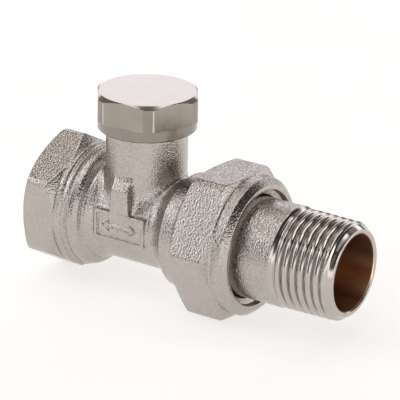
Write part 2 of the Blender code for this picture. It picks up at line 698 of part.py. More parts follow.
def make_bush():
    """Screwed-in bush that guides the spindle, with two spanner notches in its head."""
    bush = turned("insert_bush", [
        (BUSH_R, BUSH_BOTTOM_Z),
        (BUSH_R, COUNTERBORE_Z - 0.2 * MM),
        (BUSH_RING_FLOOR_R, COUNTERBORE_Z - 0.2 * MM),
        (BUSH_RING_FLOOR_R, BUSH_HEAD_Z),
        (BUSH_HEAD_R, BUSH_HEAD_Z),
        (BUSH_HEAD_R, BUSH_TOP_Z),
        (BUSH_THREAD_BORE_R, BUSH_TOP_Z),
        (BUSH_THREAD_BORE_R, CIRCLIP_Z + CIRCLIP_THICKNESS + SEAL_GAP),
        (CIRCLIP_OUTER_R + SEAL_GAP, CIRCLIP_Z + CIRCLIP_THICKNESS + SEAL_GAP),
        (CIRCLIP_OUTER_R + SEAL_GAP, CIRCLIP_Z - SEAL_GAP),
        (BUSH_THREAD_BORE_R, CIRCLIP_Z - SEAL_GAP),
        (BUSH_THREAD_BORE_R, BUSH_STEP_Z),
        (BUSH_STEM_BORE_R, BUSH_STEP_Z),
        (BUSH_STEM_BORE_R, BUSH_BOTTOM_Z),
    ], SMALL_SEGMENTS, location=(NECK_X, 0, 0), is_part=True)
    for side in (-1, 1):
        near = side * NOTCH_INNER_R
        far = side * (BUSH_HEAD_R + REACH)
        cut(bush, block("bush_notch", (min(near, far), -NOTCH_WIDTH / 2, BUSH_TOP_Z - NOTCH_DEPTH),
                        (max(near, far), NOTCH_WIDTH / 2, BUSH_TOP_Z + REACH), location=(NECK_X, 0, 0)))
    finish(bush, BARE_BRASS)

    ring = o_ring("bush_o_ring", BUSH_RING_FLOOR_R + GAP + BUSH_RING_WIRE_R, BUSH_RING_WIRE_R,
                  location=(NECK_X, 0, COUNTERBORE_Z + GAP + BUSH_RING_WIRE_R), is_part=True)
    finish(ring, BLACK_RUBBER)


def make_spindle():
    """Hollow shut-off spindle: clip groove, two seal grooves, thread and hexagon socket."""
    groove = SPINDLE_RING_WIRE_R + GAP
    groove_r = SPINDLE_RING_R - SPINDLE_RING_WIRE_R - SEAL_GAP
    outline = [
        (SPINDLE_FOOT_R, SPINDLE_FOOT_Z),
        (SPINDLE_FOOT_R, DISC_CLIP_Z - SEAL_GAP),
        (DISC_CLIP_INNER_R - SEAL_GAP, DISC_CLIP_Z - SEAL_GAP),
        (DISC_CLIP_INNER_R - SEAL_GAP, DISC_CLIP_Z + CIRCLIP_THICKNESS + SEAL_GAP),
        (SPINDLE_FOOT_R, DISC_CLIP_Z + CIRCLIP_THICKNESS + SEAL_GAP),
        (SPINDLE_FOOT_R, SPINDLE_SHOULDER_Z),
        (SPINDLE_STEM_R, SPINDLE_SHOULDER_Z),
    ]
    for ring_z in SPINDLE_RING_Z:
        outline += [
            (SPINDLE_STEM_R, ring_z - groove),
            (groove_r, ring_z - groove),
            (groove_r, ring_z + groove),
            (SPINDLE_STEM_R, ring_z + groove),
        ]
    outline += [
        (SPINDLE_STEM_R, SPINDLE_THREAD_Z),
        (SPINDLE_THREAD_R, SPINDLE_THREAD_Z),
        (SPINDLE_THREAD_R, SPINDLE_TOP_Z - 0.4 * MM),
        (SPINDLE_THREAD_R - 0.4 * MM, SPINDLE_TOP_Z),
        (SPINDLE_BORE_R, SPINDLE_TOP_Z),
        (SPINDLE_BORE_R, SPINDLE_FOOT_Z),
    ]
    spindle = turned("shutoff_spindle", outline, SMALL_SEGMENTS, location=(NECK_X, 0, 0), is_part=True)
    cut(spindle, hexagon("spindle_socket_cutter", SPINDLE_SOCKET_FLATS, SPINDLE_SOCKET_Z,
                         SPINDLE_TOP_Z + REACH, location=(NECK_X, 0, 0)))
    finish(spindle, BARE_BRASS)

    for label, ring_z in zip(("lower", "upper"), SPINDLE_RING_Z):
        ring = o_ring("spindle_o_ring_" + label, SPINDLE_RING_R, SPINDLE_RING_WIRE_R,
                      location=(NECK_X, 0, ring_z), is_part=True)
        finish(ring, BLACK_RUBBER)


def make_clip(name, inner_r, outer_r, low_z):
    """Open retaining ring, with its mouth towards +X."""
    clip = turned(name, [
        (outer_r, 0),
        (outer_r, CIRCLIP_THICKNESS),
        (inner_r, CIRCLIP_THICKNESS),
        (inner_r, 0),
    ], SMALL_SEGMENTS, location=(NECK_X, 0, low_z), is_part=True)
    cut(clip, block(name + "_mouth", (0, -CLIP_MOUTH / 2, -REACH),
                    (outer_r + REACH, CLIP_MOUTH / 2, CIRCLIP_THICKNESS + REACH),
                    location=(NECK_X, 0, low_z)))
    finish(clip, SPRING_STEEL)


def make_seal_disc():
    """Cup that swivels on the spindle's foot, and the rubber ring that closes on the seat."""
    holder = turned("disc_holder", [
        (DISC_R, SPINDLE_FOOT_Z),
        (DISC_R, DISC_TOP_Z),
        (DISC_BORE_R, DISC_TOP_Z),
        (DISC_BORE_R, DISC_PLATE_Z),
        (DISC_RECESS_R, DISC_PLATE_Z),
        (DISC_RECESS_R, SPINDLE_FOOT_Z),
    ], SMALL_SEGMENTS, location=(NECK_X, 0, 0), is_part=True)
    finish(holder, BARE_BRASS)

    seal_r = DISC_RECESS_R - SEAL_GAP
    seal = turned("disc_seal", [
        (seal_r, DISC_SEAL_BOTTOM_Z),
        (seal_r, DISC_PLATE_Z - GAP),
        (SEAT_R, DISC_PLATE_Z - GAP),
        (SEAT_R, DISC_SEAL_BOTTOM_Z),
    ], SMALL_SEGMENTS, location=(NECK_X, 0, 0), is_part=True)
    finish(seal, BLACK_RUBBER)


def make_presetting_cone():
    """Throttle plug on a slotted stem that screws through the spindle."""
    groove = CONE_RING_WIRE_R + SEAL_GAP
    groove_r = CONE_RING_R - CONE_RING_WIRE_R - SEAL_GAP
    cone = turned("presetting_cone", [
        (0, CONE_TIP_Z),
        (CONE_TIP_R, CONE_TIP_Z),
        (CONE_HEAD_R, CONE_HEAD_TOP_Z - 0.5 * MM),
        (CONE_HEAD_R, CONE_HEAD_TOP_Z),
        (CONE_STEM_R, CONE_HEAD_TOP_Z),
        (CONE_STEM_R, CONE_RING_Z - groove),
        (groove_r, CONE_RING_Z - groove),
        (groove_r, CONE_RING_Z + groove),
        (CONE_STEM_R, CONE_RING_Z + groove),
        (CONE_STEM_R, CONE_TOP_Z),
        (0, CONE_TOP_Z),
    ], SMALL_SEGMENTS, location=(NECK_X, 0, 0), is_part=True)
    half_length = CONE_STEM_R + REACH
    cut(cone, block("cone_slot_cutter",
                    (-half_length, -CONE_SLOT_WIDTH / 2, CONE_TOP_Z - CONE_SLOT_DEPTH),
                    (half_length, CONE_SLOT_WIDTH / 2, CONE_TOP_Z + REACH), location=(NECK_X, 0, 0)))
    finish(cone, BARE_BRASS)

    ring = o_ring("cone_o_ring", CONE_RING_R, CONE_RING_WIRE_R,
                  location=(NECK_X, 0, CONE_RING_Z), is_part=True)
    finish(ring, BLACK_RUBBER)


make_body()
make_union_nut()
make_tailpiece()
make_blanking_cap()
make_bush()
make_spindle()
make_clip("spindle_circlip", CIRCLIP_INNER_R, CIRCLIP_OUTER_R, CIRCLIP_Z)
make_clip("disc_clip", DISC_CLIP_INNER_R, DISC_CLIP_OUTER_R, DISC_CLIP_Z)
make_seal_disc()
make_presetting_cone()
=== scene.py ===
import itertools
import math

import bmesh
import bpy
import numpy as np
from mathutils import Matrix, Vector


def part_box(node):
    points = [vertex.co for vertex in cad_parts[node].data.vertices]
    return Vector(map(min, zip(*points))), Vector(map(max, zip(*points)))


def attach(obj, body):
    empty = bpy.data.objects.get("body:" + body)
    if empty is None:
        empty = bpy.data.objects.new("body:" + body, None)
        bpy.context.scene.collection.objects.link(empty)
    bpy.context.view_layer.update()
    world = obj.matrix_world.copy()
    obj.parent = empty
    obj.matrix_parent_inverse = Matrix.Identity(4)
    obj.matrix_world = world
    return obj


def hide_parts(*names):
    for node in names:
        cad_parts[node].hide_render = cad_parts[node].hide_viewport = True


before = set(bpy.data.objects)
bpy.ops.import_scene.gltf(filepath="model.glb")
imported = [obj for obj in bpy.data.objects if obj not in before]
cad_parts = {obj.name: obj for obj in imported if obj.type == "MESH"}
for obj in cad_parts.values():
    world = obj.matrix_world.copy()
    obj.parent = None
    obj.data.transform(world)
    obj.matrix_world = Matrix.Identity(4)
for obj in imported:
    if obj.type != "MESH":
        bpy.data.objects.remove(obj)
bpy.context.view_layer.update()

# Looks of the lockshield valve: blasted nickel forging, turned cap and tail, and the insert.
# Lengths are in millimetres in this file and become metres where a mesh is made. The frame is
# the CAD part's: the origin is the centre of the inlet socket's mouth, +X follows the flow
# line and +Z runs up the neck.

MM = 0.001
TAU = 2 * math.pi


# ==== stations from the frame ====

def span(node, axis):
    """Lowest and highest coordinate of a CAD node along an axis, in millimetres."""
    low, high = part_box(node)
    return low[axis] / MM, high[axis] / MM


X, Z = 0, 2
FLOOR_Z, NECK_TOP = span("valve_body", Z)
SPIGOT_END = span("valve_body", X)[1]
NUT_BACK, NUT_FRONT = span("union_nut", X)
TAIL_NOSE, TAIL_END = span("tailpiece", X)
CAP_BOTTOM, CAP_TOP = span("blanking_cap", Z)
NECK_X = sum(span("insert_bush", X)) / 2

# ---- Body ----
HEX_FLATS = 27.0
HEX_CORNER_R = 15.27
BARREL_R = 9.85
NECK_R = 8.68
NECK_CORE_R = 7.4  # under the cap's thread
NECK_SHOULDER = 20.1
NECK_BLEND = 1.9  # fillet between the neck and the barrel
CAP_THREAD_R = 7.9
UNION_THREAD_R = 12.75
UNION_CORE_R = 11.6  # under the union thread
SOCKET_R = 9.9
INLET_PASSAGE = (4.0, -3.6, 13.5, 26)  # radius, height, start and end on the flow line
OUTLET_PASSAGE = (5.2, 2.4, 28.2, 37)

# ---- Marking plate ----
PLATE_X = (NECK_X - 6.4, NECK_X + 6.4)
PLATE_Z = (-2.6, 3.9)
PLATE_FRONT = -10.45
PLATE_BORDER = 0.75
FIELD_DEPTH = 0.6
STEM_X = NECK_X + 0.05
STEM_HALF = 1.95  # at the front face's top
STEM_TAPER = 0.3  # sideways for each step back
STEM_SPREAD = 0.08  # sideways for each step down
STEM_TOP = (9.2, 11.6)  # at the stem's front face and at the neck
STEM_BACK = -8.2
ARROW_HALF = 4.3
ARROW_HEAD_START = 2.6
ARROW_SLOPE = 0.76
ARROW_STEEPNESS = 1.26  # length of the head side's gradient
ARROW_SHAFT = (3, 0.45)  # half its length and half its width

# ---- Union nut ----
NUT_FLATS = 30.0
NUT_CORNER_R = 16.87
NUT_TURN = math.radians(28.6) - math.pi / 2
NUT_HEX_FRONT = 47.6
NUT_COLLAR_R = 14.75
NUT_LIP_R = 11.1
NUT_BORE_R = 13.4
NUT_OUTSIDE = 13.6  # points beyond this radius are on the nut's outside

# ---- Tail ----
TAIL_COLLAR = (45.9, 48.0)
TAIL_COLLAR_R = 12.7
TUBE_R = 10.75
TAIL_BORE_R = 8.15
NOSE_BORE_R = 6.8
TAIL_SEAL_X = 43.75
TAIL_SEAL_GROOVE = (8.62, 0.9)  # radius and half width
THREAD_START = 60.9
THREAD_OUTSIDE = 9.0  # points beyond this radius are on the tail's outside
THREAD_BLANK_R = 9.9
THREAD_CORE_R = 9.4
THREAD_CREST_R = 10.6
THREAD_TIP_R = 10.42

# ---- Cap ----
CAP_FLATS = 20.9
CAP_CORNER_R = 11.45
CAP_SKIRT_R = 10.5
CAP_TOP_R = 10.3
CAP_TOP_CHAMFER = 0.67
CAP_HEX_Z = 23.1
CAP_CEILING = 26.4
CAP_TURN = math.radians(5.5)
CAP_BORE_R = 8.2
CAP_HIGHLIGHT_SHARE = 0.87  # share of a corner's land where its painted highlight starts

# ---- Insert ----
BUSH_THREAD_R = 6.1
BUSH_HEAD_R = 6.8
BUSH_SCREW_R = 5.0  # bore round the spindle's thread
BUSH_BORE_R = 4.6
BUSH_SEAL_Z = 21.95
SPINDLE_R = 4.3
SPINDLE_SCREW_R = 4.7
SPINDLE_BORE_R = 2.4
SPINDLE_FOOT_R = 3.2
SPINDLE_SEALS = (("lower", 12.6), ("upper", 14.8))
KEY_SOCKET_R = 2.8867  # to the corners of a 5 mm hexagon
KEY_SOCKET_Z = 18.2
KEY_SOCKET_DEPTH = 7
CONE_R = 3.7
CONE_STEM_R = 2.1
CONE_SEAL_Z = 11.5

# ---- Screw pitches ----
PIPE_PITCH = 25.4 / 14
CAP_PITCH = 1.0
SPINDLE_PITCH = 1.0
CONE_PITCH = 0.5

# ---- Resolution ----
AROUND = 360
AROUND_THREAD = 400
AROUND_SMALL = 128
BODY_STEP = 0.33


# ==== material nodes ====

NOISE_LOW, NOISE_HIGH = 0.3, 0.7  # most of a noise's values lie between these


def mix_colours(tree, factor, first, second):
    """Mix of two colours, each a plain one or a linked socket."""
    node = tree.nodes.new("ShaderNodeMix")
    node.data_type = "RGBA"
    tree.links.new(factor, node.inputs["Factor"])
    sockets = [socket for socket in node.inputs if socket.type == "RGBA"]
    for colour, socket in zip((first, second), sockets):
        if isinstance(colour, bpy.types.NodeSocket):
            tree.links.new(colour, socket)
        else:
            socket.default_value = (*colour, 1)
    return next(socket for socket in node.outputs if socket.type == "RGBA")


class Nodes:
    """Short names for the shader nodes that the materials share."""

    def __init__(self, name, colour, metallic, roughness):
        self.material = bpy.data.materials.new(name)
        self.material.use_nodes = True
        self.tree = self.material.node_tree
        self.shader = self.tree.nodes["Principled BSDF"]
        self.shader.inputs["Base Color"].default_value = (*colour, 1)
        self.shader.inputs["Metallic"].default_value = metallic
        self.shader.inputs["Roughness"].default_value = roughness
        self.place = self.add("ShaderNodeTexCoord").outputs["Object"]

    def add(self, kind, inputs=(), **settings):
        node = self.tree.nodes.new(kind)
        for name, value in settings.items():
            setattr(node, name, value)
        for socket, value in dict(inputs).items():
            if isinstance(value, bpy.types.NodeSocket):
                self.tree.links.new(value, node.inputs[socket])
            else:
                node.inputs[socket].default_value = value
        return node

    def stretched(self, scale):
        """Object coordinates scaled along each axis."""
        inputs = {"Vector": self.place, "Scale": scale}
        return self.add("ShaderNodeMapping", inputs).outputs["Vector"]

    def noise(self, scale, detail=3.0, roughness=0.55, place=None):
        """Noise whose scale is in cells for each metre."""
        inputs = {"Vector": place or self.place, "Scale": scale, "Detail": detail,
                  "Roughness": roughness}
        return self.add("ShaderNodeTexNoise", inputs).outputs["Fac"]

    def ramp(self, value, low, high, out_low=0, out_high=1):
        inputs = {"Value": value, "From Min": low, "From Max": high, "To Min": out_low,
                  "To Max": out_high}
        return self.add("ShaderNodeMapRange", inputs).outputs["Result"]

    def spread(self, noise, out_low=0, out_high=1):
        """A noise's usual values, spread over a range."""
        return self.ramp(noise, NOISE_LOW, NOISE_HIGH, out_low, out_high)

    def mixed(self, factor, first, second):
        return mix_colours(self.tree, factor, first, second)

    def combined(self, operation, first, second):
        """Vector maths node on two vectors."""
        return self.add("ShaderNodeVectorMath", {0: first, 1: second}, operation=operation)

    def bump(self, height, strength, distance, onto=None):
        inputs = {"Height": height, "Strength": strength, "Distance": distance * MM}
        if onto:
            inputs["Normal"] = onto
        return self.add("ShaderNodeBump", inputs).outputs["Normal"]

    def finished(self, colour, roughness, normal):
        """The material, with the shader's inputs linked."""
        self.tree.links.new(colour, self.shader.inputs["Base Color"])
        self.tree.links.new(roughness, self.shader.inputs["Roughness"])
        self.tree.links.new(normal, self.shader.inputs["Normal"])
        return self.material


# ==== materials ====

PAINTED_REFLECTION_SIDE = (0, 0.904, -0.428)  # towards the side of the bore where a warm reflection is painted into the colour
PAINTED_REFLECTION_START = 0.80  # share of the bore's radius where the painted reflection starts
TOOL_LINE_STRETCH = 60.0
TOOL_LINE_SCALE = 60.0  # in cells for each metre, at coarseness 1


def blasted_nickel():
    """Satin plate over a bead-blasted forging: an even grain of about 0.3 mm."""
    n = Nodes("blasted_nickel", (0.48, 0.44, 0.4), metallic=1, roughness=0.3)
    grain = n.noise(2750, 1.5, 0.5)
    coarse = n.noise(1100, 2)
    patches = n.noise(130, 2)
    speckle = n.mixed(n.ramp(grain, 0.36, 0.64), (0.445, 0.408, 0.377), (0.525, 0.487, 0.452))
    tint = n.mixed(n.spread(patches), (0.95, 0.93, 0.91), (1.0, 1.0, 1.0))
    colour = n.combined("MULTIPLY", speckle, tint).outputs[0]
    normal = n.bump(grain, 1.0, 0.13, n.bump(coarse, 0.3, 0.05))
    return n.finished(colour, n.spread(grain, 0.15, 0.26), normal)


def smooth_nickel(name, colour, lines_along, coarseness, roughness):
    """Bright plate over turned brass, with fine tool lines across the turning axis."""
    n = Nodes(name, colour, metallic=1, roughness=roughness)
    scale = [1.0, 1.0, 1.0]
    scale[lines_along] = TOOL_LINE_STRETCH
    lines = n.noise(TOOL_LINE_SCALE / coarseness, 2, place=n.stretched(scale))
    cloud = n.noise(220, 3)
    darker, lighter = (tuple(level * share for level in colour) for share in (0.95, 1.05))
    return n.finished(n.mixed(n.spread(cloud), darker, lighter),
                      n.spread(cloud, roughness * 0.8, roughness * 1.3), n.bump(lines, 0.25, 0.02))


def brown_bore():
    """Unplated bore, darkened by heat and water, with streaks along the flow line and a painted
    warm reflection on one side.
    """
    n = Nodes("brown_bore", (0.2, 0.09, 0.04), metallic=1, roughness=0.3)
    streaks = n.noise(420, 3, 0.6, n.stretched((0.12, 1, 1)))
    toward = n.combined("DOT_PRODUCT", n.place, PAINTED_REFLECTION_SIDE).outputs["Value"]
    warm = n.ramp(toward, PAINTED_REFLECTION_START * TAIL_BORE_R * MM, TAIL_BORE_R * MM)
    dark = n.mixed(n.spread(streaks), (0.52, 0.32, 0.23), (0.66, 0.42, 0.31))
    # The light colours are a painted reflection, mixed in towards one side of the bore.
    light = n.mixed(n.spread(streaks), (1.0, 0.62, 0.33), (1.0, 0.76, 0.46))
    return n.finished(n.mixed(warm, dark, light),
                      n.spread(streaks, 0.28, 0.4), n.bump(streaks, 0.15, 0.03))


def bare_brass():
    n = Nodes("bare_brass", (0.74, 0.56, 0.28), metallic=1, roughness=0.25)
    rings = n.noise(500, 2, place=n.stretched((1, 1, 12)))
    tarnish = n.noise(350, 4)
    yellow, brown = (0.78, 0.60, 0.30), (0.52, 0.34, 0.15)
    return n.finished(n.mixed(n.ramp(tarnish, 0.35, 0.7), yellow, brown),
                      n.spread(tarnish, 0.2, 0.38), n.bump(rings, 0.25, 0.02))


def black_rubber():
    n = Nodes("black_rubber", (0.02, 0.02, 0.02), metallic=0, roughness=0.5)
    grain = n.noise(6000, 3)
    black, grey = (0.015, 0.015, 0.016), (0.04, 0.04, 0.042)
    return n.finished(n.mixed(n.spread(n.noise(600)), black, grey),
                      n.spread(grain, 0.42, 0.62), n.bump(grain, 0.3, 0.02))


def seal_fibre():
    n = Nodes("seal_fibre", (0.4, 0.13, 0.09), metallic=0, roughness=0.8)
    fibres = n.noise(2600, 5, 0.7, n.stretched((1, 0.35, 1)))
    return n.finished(n.mixed(n.spread(fibres), (0.30, 0.08, 0.05), (0.52, 0.20, 0.14)),
                      n.spread(fibres, 0.7, 0.95), n.bump(fibres, 0.5, 0.04))


def spring_steel():
    n = Nodes("spring_steel", (0.43, 0.43, 0.45), metallic=1, roughness=0.3)
    marks = n.noise(2000, 3, place=n.stretched((1, 1, 0.2)))
    return n.finished(n.mixed(n.spread(marks), (0.36, 0.36, 0.38), (0.52, 0.52, 0.54)),
                      n.spread(marks, 0.25, 0.42), n.bump(marks, 0.2, 0.02))


NICKEL = blasted_nickel()
CAP_PLATE = smooth_nickel("cap_nickel", (0.36, 0.324, 0.280), 2, 0.1, 0.12)
# Darker, rougher copy of the cap's plate for the corners' lands and the skirt: the rougher finish
# is the land's own, the darker colour is painted shade
CAP_ROUGH_SHADED = smooth_nickel("cap_rough_shaded_nickel", (0.295, 0.267, 0.232), 2, 0.05, 0.2)
# Pale copy of the cap's plate: a painted highlight along one edge of each corner's land
CAP_HIGHLIGHT_PLATE = smooth_nickel("cap_highlight_nickel", (0.62, 0.57, 0.50), 2, 0.1, 0.12)
THREAD_PLATE = smooth_nickel("thread_nickel", (0.50, 0.462, 0.425), 0, 0.1, 0.12)
BORE = brown_bore()
BRASS = bare_brass()
RUBBER = black_rubber()
FIBRE = seal_fibre()
STEEL = spring_steel()


# ==== meshes ====

MERGE_DISTANCE = 0.000002  # in metres
CUT_SHARP = 35  # degrees between faces that stay hard after a cut
EDGE_SHARE = 0.45  # of an edge, at most, goes to one corner's arc
NEARLY_STRAIGHT = math.radians(87)  # half angle over which a corner needs no arc
SUPPORT_REACH = 0.12  # from an arc's end to its supporting point


def mesh_object(name, points, faces, looks, sharp=None):
    """Smooth object from points in millimetres, with edges over sharp degrees kept hard."""
    mesh = bpy.data.meshes.new(name)
    mesh.from_pydata((np.asarray(points, float) * MM).tolist(), [], faces)
    shape = bmesh.new()
    shape.from_mesh(mesh)
    bmesh.ops.remove_doubles(shape, verts=shape.verts, dist=MERGE_DISTANCE)
    bmesh.ops.recalc_face_normals(shape, faces=shape.faces)
    shape.to_mesh(mesh)
    shape.free()
    mesh.shade_smooth()
    if sharp:
        mesh.set_sharp_from_angle(angle=math.radians(sharp))
    for look in looks:
        mesh.materials.append(look)
    return placed(name, mesh)


def placed(name, data):
    """Object with this data, linked into the scene."""
    item = bpy.data.objects.new(name, data)
    bpy.context.scene.collection.objects.link(item)
    return item


def rounded(outline, radius, closed, arc_steps=4):
    """Round an outline's corners; a third number on a point is that corner's own radius.

    A point just outside each end of an arc keeps flat shading on the flat faces.
    """
    result = []
    count = len(outline)
    for index, point in enumerate(outline):
        here = np.array(point[:2], float)
        size = point[2] if len(point) > 2 else radius
        if size <= 0 or (not closed and index in (0, count - 1)):
            result.append(tuple(here))
            continue
        to_before = np.array(outline[index - 1][:2], float) - here
        to_after = np.array(outline[(index + 1) % count][:2], float) - here
        room = EDGE_SHARE * min(np.linalg.norm(to_before), np.linalg.norm(to_after))
        to_before /= np.linalg.norm(to_before)
        to_after /= np.linalg.norm(to_after)
        half = math.acos(np.clip(to_before @ to_after, -1, 1)) / 2
        if half > NEARLY_STRAIGHT:
            result.append(tuple(here))
            continue
        reach = min(size / math.tan(half), room)
        middle = (to_before + to_after) / np.linalg.norm(to_before + to_after)
        centre = here + middle * reach / math.cos(half)
        start = here + to_before * reach - centre
        turned = to_after - to_before
        side = np.sign(start[0] * turned[1] - start[1] * turned[0])
        support = min(SUPPORT_REACH, room - reach)
        if support > 0:
            result.append(tuple(centre + start + to_before * support))
        for step in range(arc_steps + 1):
            angle = side * (math.pi - 2 * half) * step / arc_steps
            cosine, sine = math.cos(angle), math.sin(angle)
            result.append((centre[0] + cosine * start[0] - sine * start[1],
                           centre[1] + sine * start[0] + cosine * start[1]))
        if support > 0:
            result.append(tuple(here + to_after * (reach + support)))
    return result


def divided(outline, closed, low, high, step, min_radius=0.0):
    """Split the segments between two heights, outside a radius, into pieces up to step long."""
    result = []
    count = len(outline)
    for index, (r, h) in enumerate(outline):
        result.append((r, h))
        if index == count - 1 and not closed:
            break
        r2, h2 = outline[(index + 1) % count]
        length = math.hypot(r2 - r, h2 - h)
        in_zone = min(h, h2) >= low and max(h, h2) <= high and min(r, r2) >= min_radius
        if in_zone and length > step:
            pieces = math.ceil(length / step)
            result += [(r + (r2 - r) * i / pieces, h + (h2 - h) * i / pieces)
                       for i in range(1, pieces)]
    return result


def lathe(name, outline, looks, axis, around=AROUND, relief=None, sharp=None, angles=None):
    """Turn an outline of (radius, height) points about the flow line or the neck's axis.

    An outline that starts and ends on the axis makes a solid piece; any other closes on
    itself. relief(radius, height, angle) gives the radius to use. angles, when given, are the
    places round the axis, in place of an even spread.
    """
    closed = outline[0][0] > 0
    radii = np.array([point[0] for point in outline], float)[:, None]
    heights = np.array([point[1] for point in outline], float)[:, None]
    turns = np.arange(around) * TAU / around if angles is None else np.asarray(angles)
    turns = turns[None, :]
    around = turns.shape[1]
    grid = radii + 0 * turns
    along = heights + 0 * turns
    if relief:
        grid = np.where(radii > 0, relief(grid, along, turns + 0 * radii), 0)
    if axis == "x":
        points = np.stack([along, grid * np.cos(turns), grid * np.sin(turns)], -1)
    else:
        points = np.stack([NECK_X + grid * np.cos(turns), grid * np.sin(turns), along], -1)
    rows = len(outline)
    faces = []
    for i in range(rows if closed else rows - 1):
        a = i * around
        b = (i + 1) % rows * around
        for j in range(around):
            k = (j + 1) % around
            if not closed and i == 0:
                faces.append((a, b + k, b + j))
            elif not closed and i == rows - 2:
                faces.append((a + j, a + k, b))
            else:
                faces.append((a + j, a + k, b + k, b + j))
    return mesh_object(name, points.reshape(-1, 3), faces, looks, sharp)


def repaint(item, slot, inside):
    """Give the faces whose centre passes the test another of the object's materials."""
    for face in item.data.polygons:
        if inside(Vector(face.center) / MM):
            face.material_index = slot


def carve(item, low, high, turn=0.0):
    """Cut a block between two corners, in millimetres about the neck's axis, out of a piece."""
    cutter = bmesh.new()
    bmesh.ops.create_cube(cutter, size=1)
    for vert in cutter.verts:
        for axis in range(3):
            vert.co[axis] = (high[axis] if vert.co[axis] > 0 else low[axis]) * MM
    bmesh.ops.rotate(cutter, verts=cutter.verts, matrix=Matrix.Rotation(turn, 3, "Z"))
    bmesh.ops.translate(cutter, verts=cutter.verts, vec=(NECK_X * MM, 0, 0))
    cut_with(item, cutter)


def cut_with(item, cutter):
    """Cut a bmesh out of a piece, for good."""
    mesh = bpy.data.meshes.new("cutter")
    cutter.to_mesh(mesh)
    cutter.free()
    tool = placed("cutter", mesh)
    boolean = item.modifiers.new("cut", "BOOLEAN")
    boolean.operation = "DIFFERENCE"
    boolean.solver = "EXACT"
    boolean.object = tool
    bpy.context.view_layer.update()
    evaluated = item.evaluated_get(bpy.context.evaluated_depsgraph_get())
    result = bpy.data.meshes.new_from_object(evaluated)
    item.modifiers.clear()
    item.data = result
    bpy.data.objects.remove(tool)
    result.shade_smooth()
    result.set_sharp_from_angle(angle=math.radians(CUT_SHARP))


def smooth_min(a, b, size):
    mix = np.clip(0.5 + 0.5 * (b - a) / size, 0, 1)
    return b * (1 - mix) + a * mix - size * mix * (1 - mix)


def smooth_max(a, b, size):
    return -smooth_min(-a, -b, size)


def hexagon_radius(angle, flats, turn):
    """Distance from the axis to a hexagon's side, with one corner at the turn angle."""
    from_flat = (angle - turn) % (math.pi / 3) - math.pi / 6
    return flats / 2 / np.cos(from_flat)


# ==== screw threads ====

THREAD_ROUNDING = 0.2  # share of half a pitch that is flat at the crest and the root
STEPS_PER_PITCH = 12


def fade(value, start, end):
    t = np.clip((value - start) / (end - start), 0, 1)
    return t * t * (3 - 2 * t)


def ridge(phase):
    """Rounded thread wave: 1 on the crest and 0 in the root, once for each whole phase."""
    distance = np.abs((phase % 1) * 2 - 1)
    return 1 - fade(distance, THREAD_ROUNDING, 1 - THREAD_ROUNDING)


def within(h, start, full_start, full_end, end):
    """1 between the two full heights, fading to 0 at the start and the end."""
    return fade(h, start, full_start) * fade(-h, -end, -full_end)


def screw_relief(pitch, depth, beyond, *zone):
    """Relief that sinks a right-handed thread into the radii beyond a limit."""
    def relief(r, h, angle):
        cut = depth * (1 - ridge(h / pitch - angle / TAU)) * within(h, *zone)
        return np.where(r > beyond, r - cut, r)
    return relief


def thread_ring(name, outer_r, inner_r, low, high, axis, pitch, depth, outside, look, body,
                slot="turned_nickel"):
    """Ring with a right-handed thread on its outside or its inside, on a body.

    It is sunk into its own piece. Every mating pair uses the same helix, so the two stay in
    mesh as they screw apart.
    """
    outline = [(outer_r, low), (outer_r, high), (inner_r, high), (inner_r, low)]
    outline = divided(outline, True, low, high, pitch / STEPS_PER_PITCH)

    def relief(r, h, angle):
        wave = ridge(h / pitch - angle / TAU) * depth
        runout = within(h, low, low + pitch / 2, high - pitch / 2, high)
        if outside:
            return np.where(r > (outer_r + inner_r) / 2, outer_r - depth + wave * runout, r)
        return np.where(r < (outer_r + inner_r) / 2, inner_r + (wave - depth) * runout, r)
    around = AROUND_SMALL if outer_r < 9 else AROUND
    show(lathe(name, outline, [look], axis, around, relief), body, slot)


# ==== valve body as a field ====

class Profile:
    """Signed distance to a turned outline, looked up in a fine table."""

    CELL = 0.06
    MARGIN = 3.0
    ARC_STEPS = 5
    FAR = 1e9
    TINY = 1e-12  # keeps the division off zero
    ON_AXIS = 1e-6

    def __init__(self, outline, radius=0.3):
        points = np.array(rounded(outline, radius, False, self.ARC_STEPS))
        self.low = np.array([-1.0, points[:, 1].min() - self.MARGIN])
        high = points.max(0) + self.MARGIN
        size = np.ceil((high - self.low) / self.CELL).astype(int) + 1
        r = self.low[0] + self.CELL * np.arange(size[0])[:, None]
        h = self.low[1] + self.CELL * np.arange(size[1])[None, :]
        r = np.abs(r)
        nearest = np.full(size, self.FAR)
        inside = np.zeros(size, bool)
        for (r0, h0), (r1, h1) in zip(points, np.roll(points, -1, 0)):
            dr, dh = r1 - r0, h1 - h0
            length_squared = max(dr * dr + dh * dh, self.TINY)
            t = np.clip(((r - r0) * dr + (h - h0) * dh) / length_squared, 0, 1)
            distance = np.hypot(r - r0 - t * dr, h - h0 - t * dh)
            if max(r0, r1) > self.ON_AXIS:
                nearest = np.minimum(nearest, distance)
            if h0 != h1:
                crosses = (h0 > h) != (h1 > h)
                inside ^= crosses & (r < dr * (h - h0) / dh + r0)
        self.table = np.where(inside, -nearest, nearest)

    def __call__(self, r, h):
        u = (r - self.low[0]) / self.CELL
        v = (h - self.low[1]) / self.CELL
        # 1.001 keeps a point at the table's edge inside its last cell.
        inner_u = np.clip(u, 0, self.table.shape[0] - 1.001)
        inner_v = np.clip(v, 0, self.table.shape[1] - 1.001)
        i, j = inner_u.astype(int), inner_v.astype(int)
        fu, fv = inner_u - i, inner_v - j
        t = self.table
        value = ((t[i, j] * (1 - fu) + t[i + 1, j] * fu) * (1 - fv)
                 + (t[i, j + 1] * (1 - fu) + t[i + 1, j + 1] * fu) * fv)
        return value + np.hypot(u - inner_u, v - inner_v) * self.CELL


EASED_STEPS = 6


